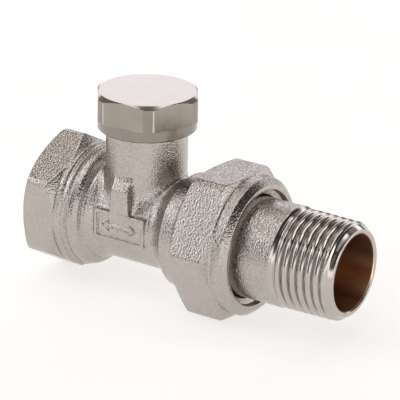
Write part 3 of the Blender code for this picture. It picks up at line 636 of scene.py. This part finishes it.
def eased(start, end, power=None):
    """Points of a curve between two (radius, height) points: S-shaped, or flared by a power."""
    points = []
    for step in range(1, EASED_STEPS + 1):
        t = step / EASED_STEPS
        ease = t ** power if power else (1 - math.cos(math.pi * t)) / 2
        radius = start[0] + (end[0] - start[0]) * ease
        height = start[1] + (end[1] - start[1]) * t
        points.append((radius, height, 0))
    return points


def barrel_outline():
    """Turned beads behind the inlet hexagon, the barrel and the union spigot."""
    return [
        (0, 2), (12, 2), (12, 8.2),
        # two beads and a collar
        (13.6, 8.2, 0.25), (13.6, 9.3, 0.25), (13.2, 9.75, 0.15), (13.3, 10.7, 0.25),
        (12.75, 10.95, 0.15), (12.9, 11.5, 0.5), (12.62, 12.6, 0.6), (12.1, 13.3, 0.5),
        (10.9, 13.9, 0.35),
        # barrel
        *eased((10.9, 13.9), (BARREL_R, 16.8)), (BARREL_R, 30.6, 0),
        # flare to the shoulder that the union nut stands against
        *eased((BARREL_R, 30.6), (12.3, 34.6), 1.7), (12.3, 37.6, 0.25),
        (UNION_CORE_R, 37.7, 0.1), (UNION_CORE_R, SPIGOT_END, 0.3), (0, SPIGOT_END),
    ]


def block(p, low, high, radius):
    """Signed distance to a rounded block between two corners."""
    low, high = np.array(low, float), np.array(high, float)
    q = np.abs(p - (low + high) / 2) - (high - low) / 2 + radius
    return np.linalg.norm(np.maximum(q, 0), axis=-1) + np.minimum(q.max(-1), 0) - radius


def plate(p):
    """Signed distance to the marking plate: a framed slab with a tapered stem above it."""
    x, y, z = p[..., 0], p[..., 1], p[..., 2]
    slab = block(p, (PLATE_X[0], PLATE_FRONT, PLATE_Z[0]), (PLATE_X[1], -6, PLATE_Z[1]), 0.3)
    flank = (np.abs(x - STEM_X) - STEM_HALF - STEM_TAPER * (y - PLATE_FRONT)
             - STEM_SPREAD * (STEM_TOP[0] - z)) / math.hypot(1, STEM_TAPER)
    stem = smooth_max(flank, PLATE_FRONT - y, 0.25)
    stem = np.maximum(stem, np.maximum(y + 5, -z))
    rise, run = STEM_TOP[1] - STEM_TOP[0], STEM_BACK - PLATE_FRONT
    slope = (z - STEM_TOP[0]) * run - (y - PLATE_FRONT) * rise
    slope = slope / math.hypot(rise, run)
    shape = smooth_min(slab, smooth_max(stem, slope, 0.35), 0.25)
    border = PLATE_BORDER
    hollow = block(p, (PLATE_X[0] + border, PLATE_FRONT - 3, PLATE_Z[0] + border),
                   (PLATE_X[1] - border, PLATE_FRONT + FIELD_DEPTH, PLATE_Z[1] - border), 0.2)
    return smooth_max(shape, -hollow, 0.15)


def arrow(p):
    """Signed distance to the plain double-headed arrow that stands in the plate's field."""
    x = np.abs(p[..., 0] - sum(PLATE_X) / 2)
    z = np.abs(p[..., 2] - sum(PLATE_Z) / 2)
    head = (z - (ARROW_HALF - x) * ARROW_SLOPE) / ARROW_STEEPNESS
    head = np.maximum(head, ARROW_HEAD_START - x)
    shaft = np.maximum(z - ARROW_SHAFT[1], x - ARROW_SHAFT[0])
    flat = smooth_min(head, shaft, 0.1)
    return smooth_max(flat, np.abs(p[..., 1] - PLATE_FRONT - 0.5) - 0.35, 0.15)


def passage(p, radius, height, start, end):
    """Signed distance to a waterway that runs beside the flow line."""
    x, y, z = p[..., 0], p[..., 1], p[..., 2]
    return np.maximum(np.hypot(y, z - height) - radius, np.maximum(start - x, x - end))


def body_field():
    """Signed distance of the forging as a function of points, in millimetres."""
    barrel = Profile(barrel_outline())
    blank = Profile([(0, 0), (12.96, 0, 0.3), (HEX_CORNER_R, 1.3, 0.3),
                     (HEX_CORNER_R, 6.6, 0.15), (12.85, 8.6, 0.3), (0, 8.6)])
    neck = Profile([(0, 0), (NECK_R, 0), (NECK_R, NECK_SHOULDER, 0.3),
                    (NECK_CORE_R, NECK_SHOULDER), (NECK_CORE_R, NECK_TOP, 0.2), (0, NECK_TOP)])
    socket_r = SOCKET_R + 0.2
    socket = Profile([(0, -3), (12.9, -3), (socket_r, 1), (socket_r, 12.5), (7, 14.5), (7, 15),
                      (0, 15)], 0.1)
    outlet = Profile([(0, 36), (7, 36), (7, 39), (9.6, 41), (11.6, 48), (0, 48)], 0.1)
    chamber = Profile([(0, -3.6), (4.2, -3.6), (4.2, 1.8, 0.15), (5, 1.8, 0.1), (5, 1.2),
                       (6.4, 1.2), (6.4, 21.1), (7.1, 21.1), (7.1, NECK_TOP + 2),
                       (0, NECK_TOP + 2)], 0.1)

    def field(p):
        x, y, z = p[..., 0], p[..., 1], p[..., 2]
        from_line = np.hypot(y, z)
        from_neck = np.hypot(x - NECK_X, y)
        angle = np.arctan2(z, y)
        prism = from_line - hexagon_radius(angle, HEX_FLATS, math.pi / 2)
        prism = prism * np.cos((angle - math.pi / 2) % (math.pi / 3) - math.pi / 6)
        value = smooth_max(blank(from_line, x), prism, 0.12)
        value = smooth_min(value, barrel(from_line, x), 0.3)
        value = smooth_min(value, neck(from_neck, z), NECK_BLEND)
        value = smooth_min(value, plate(p), 0.7)
        value = smooth_min(value, arrow(p), 0.12)
        for bore in (socket(from_line, x), outlet(from_line, x), passage(p, *INLET_PASSAGE),
                     passage(p, *OUTLET_PASSAGE), chamber(from_neck, z)):
            value = smooth_max(value, -bore, 0.15)
        return value
    return field


GRADIENT_REACH = 0.04
DRAWING_PASSES = 4  # times that the vertices are drawn onto the surface
LEAST_SLOPE_SQUARED = 0.25  # limits a move where the field is flat


def gradient(field, points):
    steps = np.eye(3) * GRADIENT_REACH
    differences = [field(points + step) - field(points - step) for step in steps]
    return np.stack(differences, -1) / (2 * GRADIENT_REACH)


def surface_of(field, low, high, step):
    """Quad mesh on a field's zero surface, by surface nets, with its vertices drawn onto it."""
    axes = [np.arange(low[a], high[a] + step, step) for a in range(3)]
    grid = np.stack(np.meshgrid(*axes, indexing="ij"), -1)
    values = np.stack([field(layer) for layer in grid])
    solid = values < 0
    cells = tuple(size - 1 for size in values.shape)
    corners = sum(solid[i:i + cells[0], j:j + cells[1], k:k + cells[2]].astype(int)
                  for i, j, k in itertools.product((0, 1), repeat=3))
    used = (corners > 0) & (corners < 8)
    index = np.full(cells, -1)
    index[used] = np.arange(used.sum())
    total = np.zeros((used.sum(), 3))
    hits = np.zeros(used.sum())
    limits = np.array(values.shape)
    quads = []
    for axis in range(3):
        first = [slice(None)] * 3
        second = [slice(None)] * 3
        first[axis], second[axis] = slice(0, -1), slice(1, None)
        crossing = np.argwhere(solid[tuple(first)] != solid[tuple(second)])
        others = [a for a in range(3) if a != axis]
        keep = np.all([(crossing[:, a] > 0) & (crossing[:, a] < limits[a] - 1)
                       for a in others], axis=0)
        crossing = crossing[keep]
        near = values[tuple(crossing.T)]
        beyond = crossing.copy()
        beyond[:, axis] += 1
        far = values[tuple(beyond.T)]
        place = crossing.astype(float)
        place[:, axis] += near / (near - far)
        ring = []
        for back in ((0, 0), (1, 0), (1, 1), (0, 1)):
            cell = crossing.copy()
            cell[:, others[0]] -= back[0]
            cell[:, others[1]] -= back[1]
            number = index[tuple(cell.T)]
            np.add.at(total, number, place)
            np.add.at(hits, number, 1)
            ring.append(number)
        quads.append(np.stack(ring, -1))
    points = np.array([a[0] for a in axes]) + total / hits[:, None] * step
    for _ in range(DRAWING_PASSES):
        slope = gradient(field, points)
        size = np.maximum((slope ** 2).sum(-1), LEAST_SLOPE_SQUARED)[:, None]
        points -= np.clip(field(points)[:, None] * slope / size, -step / 3, step / 3)
    return points, np.concatenate(quads).tolist()


# ==== pieces ====

def show(piece, body, slot, *nodes):
    """Put a piece on its body, and let it stand for its CAD nodes."""
    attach(piece, body)
    if nodes:
        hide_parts(*nodes)


def make_body():
    """Forged body, and the threads of its socket, its union spigot and its neck."""
    half = 17
    margin = 1.5
    field = body_field()
    points, faces = surface_of(field, (-margin, -half, -half),
                               (SPIGOT_END + margin, half, NECK_TOP + margin), BODY_STEP)
    body = mesh_object("valve_body_skin", points, faces, [NICKEL, BORE])
    vertices = np.array([v.co[:] for v in body.data.vertices]) / MM
    normals = gradient(field, vertices)
    normals /= np.maximum(np.linalg.norm(normals, axis=1), 1e-9)[:, None]
    body.data.normals_split_custom_set_from_vertices(normals.tolist())
    show(body, "root", "cast_nickel", "valve_body")

    thread_ring(
        "socket_thread", outer_r=SOCKET_R + 0.6, inner_r=10.05, low=1.2, high=12.3, axis="x",
        pitch=PIPE_PITCH, depth=0.75, outside=False, look=NICKEL, body="root", slot="cast_nickel")
    thread_ring(
        "union_thread", outer_r=UNION_THREAD_R, inner_r=11.2, low=38.1, high=SPIGOT_END - 0.35,
        axis="x", pitch=PIPE_PITCH, depth=1.1, outside=True, look=THREAD_PLATE,
        body="root")
    thread_ring(
        "neck_thread", outer_r=CAP_THREAD_R, inner_r=7.25, low=NECK_SHOULDER + 0.1,
        high=NECK_TOP - 0.15, axis="z", pitch=CAP_PITCH, depth=0.4, outside=True, look=CAP_PLATE,
        body="root")


def make_nut():
    """Union nut: chamfered hexagon, round collar, and the lip that holds the tail."""
    outline = rounded([
        (13.9, NUT_BACK, 0.25), (15, NUT_BACK + 1.1, 0.1), (NUT_CORNER_R, NUT_BACK + 1.8, 0.3),
        (NUT_CORNER_R, NUT_HEX_FRONT, 0.3), (15, 48.5, 0.1), (NUT_COLLAR_R, 48.9, 0.2),
        (NUT_COLLAR_R, NUT_FRONT - 1.3, 0.4), (13.45, NUT_FRONT, 0.35), (12.4, NUT_FRONT, 0.3),
        (12.4, 50.7, 0.2), (NUT_LIP_R, 50.2, 0.2), (NUT_LIP_R, 48.3, 0.2),
        (NUT_BORE_R, 48.3, 0.2), (NUT_BORE_R, NUT_BACK, 0.3),
    ], 0.2, True, 6)
    outline = divided(outline, True, NUT_BACK, 49, 0.14, NUT_OUTSIDE)

    def relief(r, h, angle):
        side = hexagon_radius(angle, NUT_FLATS, NUT_TURN)
        return np.where(r > NUT_OUTSIDE, smooth_min(r, side, 0.05), r)
    # Points crowd at each corner, so that its edge is narrow.
    side_angles = [0.0, 0.35, 0.7, *np.linspace(1.6, 58.4, AROUND // 6 - 5), 59.3, 59.65]
    angles = []
    for corner in range(6):
        start = NUT_TURN + corner * math.pi / 3
        angles += list(start + np.radians(side_angles))
    nut = lathe("union_nut_shell", outline, [NICKEL], "x", relief=relief, sharp=24,
                angles=angles)
    show(nut, "union_nut", "cast_nickel", "union_nut")
    thread_ring(
        "union_nut_thread", outer_r=13.8, inner_r=12.95, low=NUT_BACK + 0.4,
        high=SPIGOT_END - 0.2, axis="x", pitch=PIPE_PITCH, depth=1.05, outside=False,
        look=THREAD_PLATE, body="union_nut")


CREST_PHASE = 0.8  # shift of the tail's crests, in pitches
CREST_BREADTH = 3.2  # exponent of the crests' shape
EDGE_PLACE = 0.5  # place and width of the nicked edge, in half pitches
EDGE_WIDTH = 0.14
NICK_DEPTH = 0.07
NICKS = 62  # for each turn


def tail_relief(r, h, angle):
    """Taper pipe thread: broad crests with one finely nicked edge, run out at the shoulder."""
    zone = within(h, THREAD_START - 0.2, THREAD_START + 1.2, TAIL_END - 1.7, TAIL_END - 0.9)
    along = (h - THREAD_START) / (TAIL_END - THREAD_START)
    crest = THREAD_CREST_R + (THREAD_TIP_R - THREAD_CREST_R) * along
    turns = h / PIPE_PITCH - angle / TAU
    from_crest = ((turns + CREST_PHASE) % 1 - 0.5) * 2
    wave = 1 - np.abs(from_crest) ** CREST_BREADTH
    edge = np.exp(-((from_crest + EDGE_PLACE) / EDGE_WIDTH) ** 2)
    beads = np.sin(angle * NICKS + 2.6 * np.sin(angle * 5 + turns * 1.7))
    wander = 0.5 + 0.5 * np.sin(angle * 3.0 + np.floor(turns) * 2.1)
    nick = NICK_DEPTH * np.clip(beads, 0, 1) ** 2 * edge * (0.45 + 0.55 * wander)
    threaded = THREAD_CORE_R + (crest - THREAD_CORE_R) * wave - nick
    on_thread = (r > THREAD_OUTSIDE) & (h > THREAD_START - 0.4) & (h < TAIL_END - 0.5)
    return np.where(on_thread, r + (np.minimum(threaded, crest) - r) * zone, r)


def nose_radius(x):
    """Radius of the cone nose, which clears the spigot's seat by 0.35 mm."""
    return 9.6 + 1.6 * (x - 41) / (SPIGOT_END - 41) - 0.35


def make_tail():
    """Tail with its cone nose, collar, tube and taper thread, and the ring in its nose."""
    groove_r, groove_half = TAIL_SEAL_GROOVE
    groove = (TAIL_SEAL_X - groove_half, TAIL_SEAL_X + groove_half)
    collar_back, collar_front = TAIL_COLLAR
    outline = rounded([
        (nose_radius(TAIL_NOSE), TAIL_NOSE, 0.25), (nose_radius(groove[0]), groove[0]),
        (groove_r, groove[0]), (groove_r, groove[1]), (nose_radius(groove[1]), groove[1]),
        (nose_radius(collar_back), collar_back), (TAIL_COLLAR_R, collar_back, 0.3),
        (TAIL_COLLAR_R, collar_front, 0.3), (TUBE_R, collar_front, 0.3),
        (TUBE_R, THREAD_START - 0.75, 0.2), (TUBE_R - 0.42, THREAD_START - 0.35, 0.15),
        (THREAD_BLANK_R, THREAD_START + 0.5, 0), (THREAD_BLANK_R, TAIL_END - 1.5, 0),
        (THREAD_CORE_R, TAIL_END - 0.45, 0.3), (THREAD_CORE_R - 0.25, TAIL_END, 0.3),
        (TAIL_BORE_R + 0.3, TAIL_END, 0.15), (TAIL_BORE_R, TAIL_END - 0.3, 0.15),
        (TAIL_BORE_R, 54, 0.3), (NOSE_BORE_R, 52, 0.3), (NOSE_BORE_R, TAIL_NOSE, 0.3),
    ], 0.1, True)
    outline = divided(outline, True, THREAD_START - 0.4, TAIL_END - 0.4, 0.115, THREAD_OUTSIDE)
    tail = lathe("tailpiece_shell", outline, [THREAD_PLATE, BORE, NICKEL], "x", AROUND_THREAD,
                 tail_relief)

    def in_bore(p):
        return math.hypot(p.y, p.z) < TAIL_BORE_R + 0.1 and p.x < TAIL_END - 0.2

    def on_forging(p):
        return collar_back - 0.1 < p.x < THREAD_START - 0.8 and math.hypot(p.y, p.z) > 10
    repaint(tail, 1, in_bore)
    repaint(tail, 2, on_forging)
    show(tail, "tail", "turned_nickel", "tailpiece")
    seal_ring("tail_seal_ring", 9.57, 0.65, TAIL_SEAL_X, "tail", "tailpiece_o_ring", "x")


RING_STEPS = 24
FLASH = 0.03


def seal_ring(name, radius, wire, height, body, node, axis="z"):
    """O-ring on a body, with the fine moulding flash round its outer and inner edge."""
    outline = []
    for step in range(RING_STEPS):
        angle = TAU * step / RING_STEPS
        flash = FLASH if step in (0, RING_STEPS // 2) else 0
        r = radius + (wire + flash) * math.cos(angle)
        outline.append((r, height + wire * math.sin(angle)))
    ring = lathe(name, outline, [RUBBER], axis, AROUND_SMALL)
    show(ring, body, "black_rubber", node)


def make_cap():
    """Hexagon cap with turned corners and a skirt, its thread, and the fibre ring inside."""
    bore_r = CAP_BORE_R + 0.05
    outline = rounded([
        (0, CAP_CEILING), (bore_r, CAP_CEILING), (bore_r, CAP_BOTTOM, 0.3),
        (CAP_SKIRT_R - 0.32, CAP_BOTTOM, 0.12), (CAP_SKIRT_R, CAP_BOTTOM + 0.3, 0.1),
        (CAP_SKIRT_R, CAP_HEX_Z, 0.04), (CAP_CORNER_R, CAP_HEX_Z, 0.1),
        (CAP_CORNER_R, CAP_TOP - CAP_TOP_CHAMFER, 0.06), (CAP_TOP_R, CAP_TOP, 0.08),
        (0, CAP_TOP),
    ], 0.1, False, 3)
    outline = divided(outline, False, CAP_HEX_Z - 0.05, CAP_TOP + 0.1, 0.06, CAP_TOP_R - 0.05)

    def relief(r, h, angle):
        side = hexagon_radius(angle, CAP_FLATS, CAP_TURN)
        on_hexagon = (r > CAP_TOP_R - 0.1) & (h > CAP_HEX_Z - 0.02)
        return np.where(on_hexagon, smooth_min(r, side, 0.03), r)
    # Each flat ends at the break angle, and the land of the turned corner lies beyond it.
    break_at = math.acos(CAP_FLATS / 2 / CAP_CORNER_R)
    land = math.pi / 3 - 2 * break_at
    angles = []
    for side in range(6):
        middle = CAP_TURN + math.pi / 6 + side * math.pi / 3
        angles += list(middle + np.linspace(-1, 1, 41) * break_at)
        angles += [middle + break_at + land * t for t in (0.04, 0.12, 0.3, 0.5, 0.7, 0.88, 0.96)]
    cap = lathe("blanking_cap_shell", outline, [CAP_PLATE, CAP_ROUGH_SHADED, CAP_HIGHLIGHT_PLATE], "z",
                relief=relief, angles=angles, sharp=24)

    def from_axis(p):
        return math.hypot(p.x - NECK_X, p.y)

    def on_land(p, low, high):
        """Whether a point is on a corner's land, between two shares of its width."""
        turn = math.atan2(p.y, p.x - NECK_X) - CAP_TURN - break_at - math.pi / 6
        beside_chamfers = CAP_HEX_Z + 0.15 < p.z < CAP_TOP - CAP_TOP_CHAMFER - 0.08
        return (beside_chamfers and from_axis(p) > CAP_CORNER_R - 0.1
                and low * land < turn % (math.pi / 3) < high * land)

    def on_skirt(p):
        return p.z < CAP_HEX_Z - 0.02 and from_axis(p) > CAP_SKIRT_R - 0.2
    # The corners' lands and the skirt get the darker copy: painted shade, on a rougher finish.
    repaint(cap, 1, lambda p: on_land(p, 0.0, CAP_HIGHLIGHT_SHARE) or on_skirt(p))
    # The last strip of each land gets the pale copy: a painted highlight along its edge.
    repaint(cap, 2, lambda p: on_land(p, CAP_HIGHLIGHT_SHARE, 1.0))
    show(cap, "blanking_cap", "turned_nickel", "blanking_cap")
    thread_ring(
        "blanking_cap_thread", outer_r=8.4, inner_r=8.1, low=CAP_BOTTOM + 0.6, high=25.0,
        axis="z", pitch=CAP_PITCH, depth=0.4, outside=False, look=CAP_PLATE,
        body="blanking_cap")

    section = rounded([(7.6, 25.4), (7.6, 26.1), (4.0, 26.1), (4.0, 25.4)], 0.1, True)
    gasket = lathe("cap_fibre_ring", section, [FIBRE], "z", AROUND_SMALL)
    show(gasket, "cap_seal", "seal_fibre", "cap_gasket")


def make_bush():
    """Screwed-in bush with two spanner notches in its head, and the ring under the head."""
    low, high = span("insert_bush", Z)
    outline = rounded([
        (BUSH_THREAD_R, low, 0.3), (BUSH_THREAD_R, 20.9),
        # groove of the seal
        (5.4, 20.9), (5.4, 22.8),
        # head
        (BUSH_HEAD_R, 22.8), (BUSH_HEAD_R, high, 0.3), (BUSH_SCREW_R, high, 0.2),
        # groove of the circlip
        (BUSH_SCREW_R, 24.45), (5.6, 24.45), (5.6, 23.45), (BUSH_SCREW_R, 23.45),
        # bores round the spindle's screw and its seals
        (BUSH_SCREW_R, 16.0), (BUSH_BORE_R, 16.0), (BUSH_BORE_R, low, 0.2),
    ], 0.08, True)
    outline = divided(outline, True, 9, 20.6, 0.12, BUSH_THREAD_R - 0.1)
    relief = screw_relief(CAP_PITCH, 0.35, BUSH_THREAD_R - 0.05, 9.2, 10, 19.8, 20.4)
    bush = lathe("insert_bush_body", outline, [BRASS], "z", AROUND_SMALL, relief)
    for side in (0, math.pi):
        carve(bush, (5.95, -0.9, high - 0.9), (8, 0.9, high + 1), side)
    show(bush, "root", "bare_brass", "insert_bush")
    seal_ring("bush_seal_ring", 6.25, 0.55, BUSH_SEAL_Z, "root", "bush_o_ring")


def make_spindle():
    """Hollow spindle with a screwed head, a hexagon socket and two seals."""
    low, top = span("shutoff_spindle", Z)
    outline = [
        # foot, with the groove of the disc's clip
        (SPINDLE_FOOT_R, low), (SPINDLE_FOOT_R, 5.85), (2.7, 5.85), (2.7, 6.85),
        (SPINDLE_FOOT_R, 6.85), (SPINDLE_FOOT_R, 8.3), (SPINDLE_R, 8.3),
    ]
    for _, z in SPINDLE_SEALS:
        outline += [(SPINDLE_R, z - 0.85), (3.0, z - 0.85), (3.0, z + 0.85),
                    (SPINDLE_R, z + 0.85)]
    outline += [(SPINDLE_R, 19.3), (SPINDLE_SCREW_R, 19.3), (SPINDLE_SCREW_R, top, 0.4),
                (SPINDLE_BORE_R, top, 0.2), (SPINDLE_BORE_R, low)]
    outline = divided(rounded(outline, 0.08, True), True, 19.2, top - 0.3, 0.12, 4.4)
    relief = screw_relief(SPINDLE_PITCH, 0.3, 4.5, 19.3, 19.8, top - 0.6, top)
    spindle = lathe("shutoff_spindle_body", outline, [BRASS], "z", AROUND_SMALL, relief)
    key = bmesh.new()
    bmesh.ops.create_cone(key, cap_ends=True, segments=6, radius1=KEY_SOCKET_R * MM,
                          radius2=KEY_SOCKET_R * MM, depth=KEY_SOCKET_DEPTH * MM)
    bmesh.ops.translate(key, verts=key.verts,
                        vec=(NECK_X * MM, 0, (KEY_SOCKET_Z + KEY_SOCKET_DEPTH / 2) * MM))
    cut_with(spindle, key)
    show(spindle, "shutoff_spindle", "bare_brass", "shutoff_spindle")
    for label, z in SPINDLE_SEALS:
        seal_ring("spindle_seal_" + label, 3.8, 0.55, z, "shutoff_spindle",
                  "spindle_o_ring_" + label)


def make_clip(name, inner, outer, low, body, node):
    """Spring ring with an open mouth towards +X."""
    high = low + 0.5
    outline = rounded([(outer, low), (outer, high), (inner, high), (inner, low)], 0.08, True)
    clip = lathe(name, outline, [STEEL], "z", AROUND_SMALL)
    carve(clip, (0, -0.8, low - 1), (outer + 1, 0.8, low + 2))
    show(clip, body, "spring_steel", node)


def make_disc():
    """Cup on the spindle's foot, and the rubber disc that it holds."""
    low, high = span("disc_holder", Z)
    outline = rounded([(6.05, low, 0.15), (6.05, high, 0.3), (3.5, high, 0.15), (3.5, 6.9),
                       (5.5, 6.9), (5.5, low, 0.1)], 0.08, True)
    holder = lathe("disc_holder_cup", outline, [BRASS], "z", AROUND_SMALL)
    show(holder, "seal_disc", "bare_brass", "disc_holder")
    low, high = span("disc_seal", Z)
    outline = rounded([(5.25, low, 0.3), (5.25, high, 0.15), (4.2, high, 0.15), (4.2, low, 0.3)],
                      0.1, True)
    seal = lathe("disc_seal_ring", outline, [RUBBER], "z", AROUND_SMALL)
    show(seal, "seal_disc", "black_rubber", "disc_seal")


def make_cone():
    """Throttle cone with a slotted, screwed stem, and the stem's ring."""
    low, high = span("presetting_cone", Z)
    outline = rounded([
        (0, low), (2.0, low, 0.3), (CONE_R, 4.4, 0.3), (CONE_R, 4.9, 0.15),
        (CONE_STEM_R, 4.9, 0.1), (CONE_STEM_R, 10.9),
        # groove of the seal
        (1.2, 10.9), (1.2, 12.1),
        (CONE_STEM_R, 12.1), (CONE_STEM_R, high, 0.2), (0, high),
    ], 0.08, False)
    outline = divided(outline, False, 12.3, high - 0.3, 0.08, CONE_STEM_R - 0.1)
    relief = screw_relief(CONE_PITCH, 0.15, CONE_STEM_R - 0.05, 12.4, 12.9, high - 0.5, high)
    cone = lathe("presetting_cone_stem", outline, [BRASS], "z", AROUND_SMALL, relief)
    carve(cone, (-4, -0.35, high - 1.2), (4, 0.35, high + 1))
    show(cone, "presetting_cone", "bare_brass", "presetting_cone")
    seal_ring("cone_seal_ring", 1.8, 0.35, CONE_SEAL_Z, "cone_seal", "cone_o_ring")


# ==== stage, light and camera ====

CENTRE = (36.62, 0, 7.07)  # middle of the object, which camera and lights face
FLOOR_GLOW = 0.68
FLOOR_HALF = 3.0  # in metres; the camera doesn't see its edge

# Studio surroundings: sine of the elevation, then the colour there
CEILING_BANDS = [
    (0.80, 0.02, 0.02, 0.02), (0.86, 0.02, 0.02, 0.02), (0.88, 2.4, 2.37, 2.37),
    (0.96, 2.4, 2.37, 2.37), (0.975, 0.02, 0.02, 0.02), (0.993, 0.02, 0.02, 0.02),
    (0.998, 1.0, 1.0, 1.0),
]
BACK_BANDS = [
    (0.0, 0.10, 0.09, 0.08), (0.14, 0.10, 0.09, 0.08), (0.25, 1.88, 1.88, 2.05),
    (0.43, 1.88, 1.88, 2.05), (0.475, 0.36, 0.30, 0.26), (0.78, 0.34, 0.29, 0.26),
    *CEILING_BANDS,
]
FRONT_BANDS = [
    (0.0, 1.2, 1.2, 1.2), (0.10, 1.5, 1.55, 1.65), (0.60, 1.7, 1.75, 1.85),
    (0.77, 2.0, 2.0, 2.05), *CEILING_BANDS,
]
PANEL_BANDS = [
    (0.0, 0.06, 0.06, 0.06), (0.62, 0.06, 0.06, 0.06), (0.70, 1.2, 1.2, 1.25),
    (0.77, 1.2, 1.2, 1.25), *CEILING_BANDS,
]
RIGHT_BANDS = [
    (0.0, 1.7, 1.66, 1.6), (0.20, 1.7, 1.66, 1.6), (0.33, 0.06, 0.055, 0.05),
    (0.9, 0.05, 0.05, 0.05), (1.0, 0.02, 0.02, 0.02),
]
BACK_DIRECTION = (-0.545, 0.839, 0)
BRIGHTEST = 2.5  # ramps hold colours up to 1, so the bands are divided by this

CAMERA_DISTANCE = 0.50369  # in metres
CAMERA_LENS = 216.25
CAMERA_SENSOR = 36


def make_floor():
    """Pale, faintly glowing light table."""
    mesh = bpy.data.meshes.new("floor")
    shape = bmesh.new()
    bmesh.ops.create_grid(shape, x_segments=2, y_segments=2, size=FLOOR_HALF)
    shape.to_mesh(mesh)
    shape.free()
    floor = placed("floor", mesh)
    floor.location.z = (FLOOR_Z - 0.02) * MM
    n = Nodes("pale_floor", (0.41, 0.41, 0.41), metallic=0, roughness=0.8)
    cloud = n.spread(n.noise(25, 3))
    colour = n.mixed(cloud, (0.40, 0.398, 0.395), (0.43, 0.428, 0.425))
    n.tree.links.new(colour, n.shader.inputs["Base Color"])
    n.shader.inputs["Emission Color"].default_value = (1.0, 0.985, 0.965, 1)
    n.shader.inputs["Emission Strength"].default_value = FLOOR_GLOW
    mesh.materials.append(n.material)


def make_world():
    """Bands of light and dark by elevation, in four sets that take over by direction."""
    world = bpy.data.worlds.new("studio")
    bpy.context.scene.world = world
    world.use_nodes = True
    tree = world.node_tree
    background = tree.nodes["Background"]
    place = tree.nodes.new("ShaderNodeTexCoord").outputs["Generated"]
    parts = tree.nodes.new("ShaderNodeSeparateXYZ")
    tree.links.new(place, parts.inputs[0])

    def banded(bands):
        ramp = tree.nodes.new("ShaderNodeValToRGB")
        tree.links.new(parts.outputs["Z"], ramp.inputs["Fac"])
        elements = ramp.color_ramp.elements
        while len(elements) < len(bands):
            elements.new(0.5)
        for element, (height, *colour) in zip(elements, bands):
            element.position = height
            element.color = (*(level / BRIGHTEST for level in colour), 1)
        return ramp.outputs["Color"]

    def blend(value, start, end, first, second):
        side = tree.nodes.new("ShaderNodeMapRange")
        side.interpolation_type = "SMOOTHSTEP"
        tree.links.new(value, side.inputs["Value"])
        side.inputs["From Min"].default_value = start
        side.inputs["From Max"].default_value = end
        return mix_colours(tree, side.outputs["Result"], first, second)

    front, panel, back, right = (banded(bands) for bands in
                                 (FRONT_BANDS, PANEL_BANDS, BACK_BANDS, RIGHT_BANDS))
    toward_back = tree.nodes.new("ShaderNodeVectorMath")
    toward_back.operation = "DOT_PRODUCT"
    tree.links.new(place, toward_back.inputs[0])
    toward_back.inputs[1].default_value = BACK_DIRECTION
    across = parts.outputs["X"]
    mixed = blend(across, -0.56, -0.46, front, panel)
    mixed = blend(across, -0.05, 0.15, mixed, front)
    mixed = blend(toward_back.outputs["Value"], -0.35, 0.15, mixed, back)
    mixed = blend(across, 0.15, 0.4, mixed, right)
    tree.links.new(mixed, background.inputs["Color"])
    background.inputs["Strength"].default_value = BRIGHTEST


def direction(azimuth, elevation):
    """Unit vector; azimuth 0 is in front, at -Y, and 90 degrees is at +X."""
    return Vector((math.sin(azimuth) * math.cos(elevation),
                   -math.cos(azimuth) * math.cos(elevation), math.sin(elevation)))


def make_softbox(name, azimuth, elevation, distance, size, watts, colour=(1, 1, 1)):
    """Area light that faces the middle of the object, with distance and size in metres."""
    light = bpy.data.lights.new(name, "AREA")
    light.shape = "RECTANGLE"
    light.size, light.size_y = size
    light.energy = watts
    light.color = colour
    toward = direction(math.radians(azimuth), math.radians(elevation))
    item = placed(name, light)
    item.location = Vector(CENTRE) * MM + toward * distance
    item.rotation_euler = toward.to_track_quat("Z", "Y").to_euler()


def make_camera():
    """Camera at the photo's angle, with a small roll."""
    azimuth, elevation, roll = (math.radians(angle) for angle in (33.0, 21.64, 1.25))
    back = direction(azimuth, elevation)
    right = Vector((math.cos(azimuth), math.sin(azimuth), 0))
    up = back.cross(right)
    turned_right = right * math.cos(roll) + up * math.sin(roll)
    turned_up = up * math.cos(roll) - right * math.sin(roll)
    rotation = Matrix((turned_right, turned_up, back)).transposed().to_4x4()
    data = bpy.data.cameras.new("camera")
    data.lens = CAMERA_LENS
    data.sensor_width = CAMERA_SENSOR
    data.clip_start = 0.01
    camera = placed("camera", data)
    place = Matrix.Translation(Vector(CENTRE) * MM + back * CAMERA_DISTANCE)
    camera.matrix_world = place @ rotation
    bpy.context.scene.camera = camera


make_body()
make_nut()
make_tail()
make_cap()
make_bush()
make_spindle()
make_clip("bush_circlip", 4.2, 5.35, 23.7, "root", "spindle_circlip")
make_clip("disc_retaining_clip", 2.95, 3.9, 6.1, "shutoff_spindle", "disc_clip")
make_disc()
make_cone()
make_floor()
make_world()
make_softbox("key_softbox", -62, 36, 0.6, (0.3, 0.12), 0.3)
make_softbox("side_softbox", 100, 9, 0.6, (0.12, 0.16), 0.25, (1.0, 0.96, 0.92))
make_camera()
bpy.context.scene.view_settings.view_transform = "Standard"
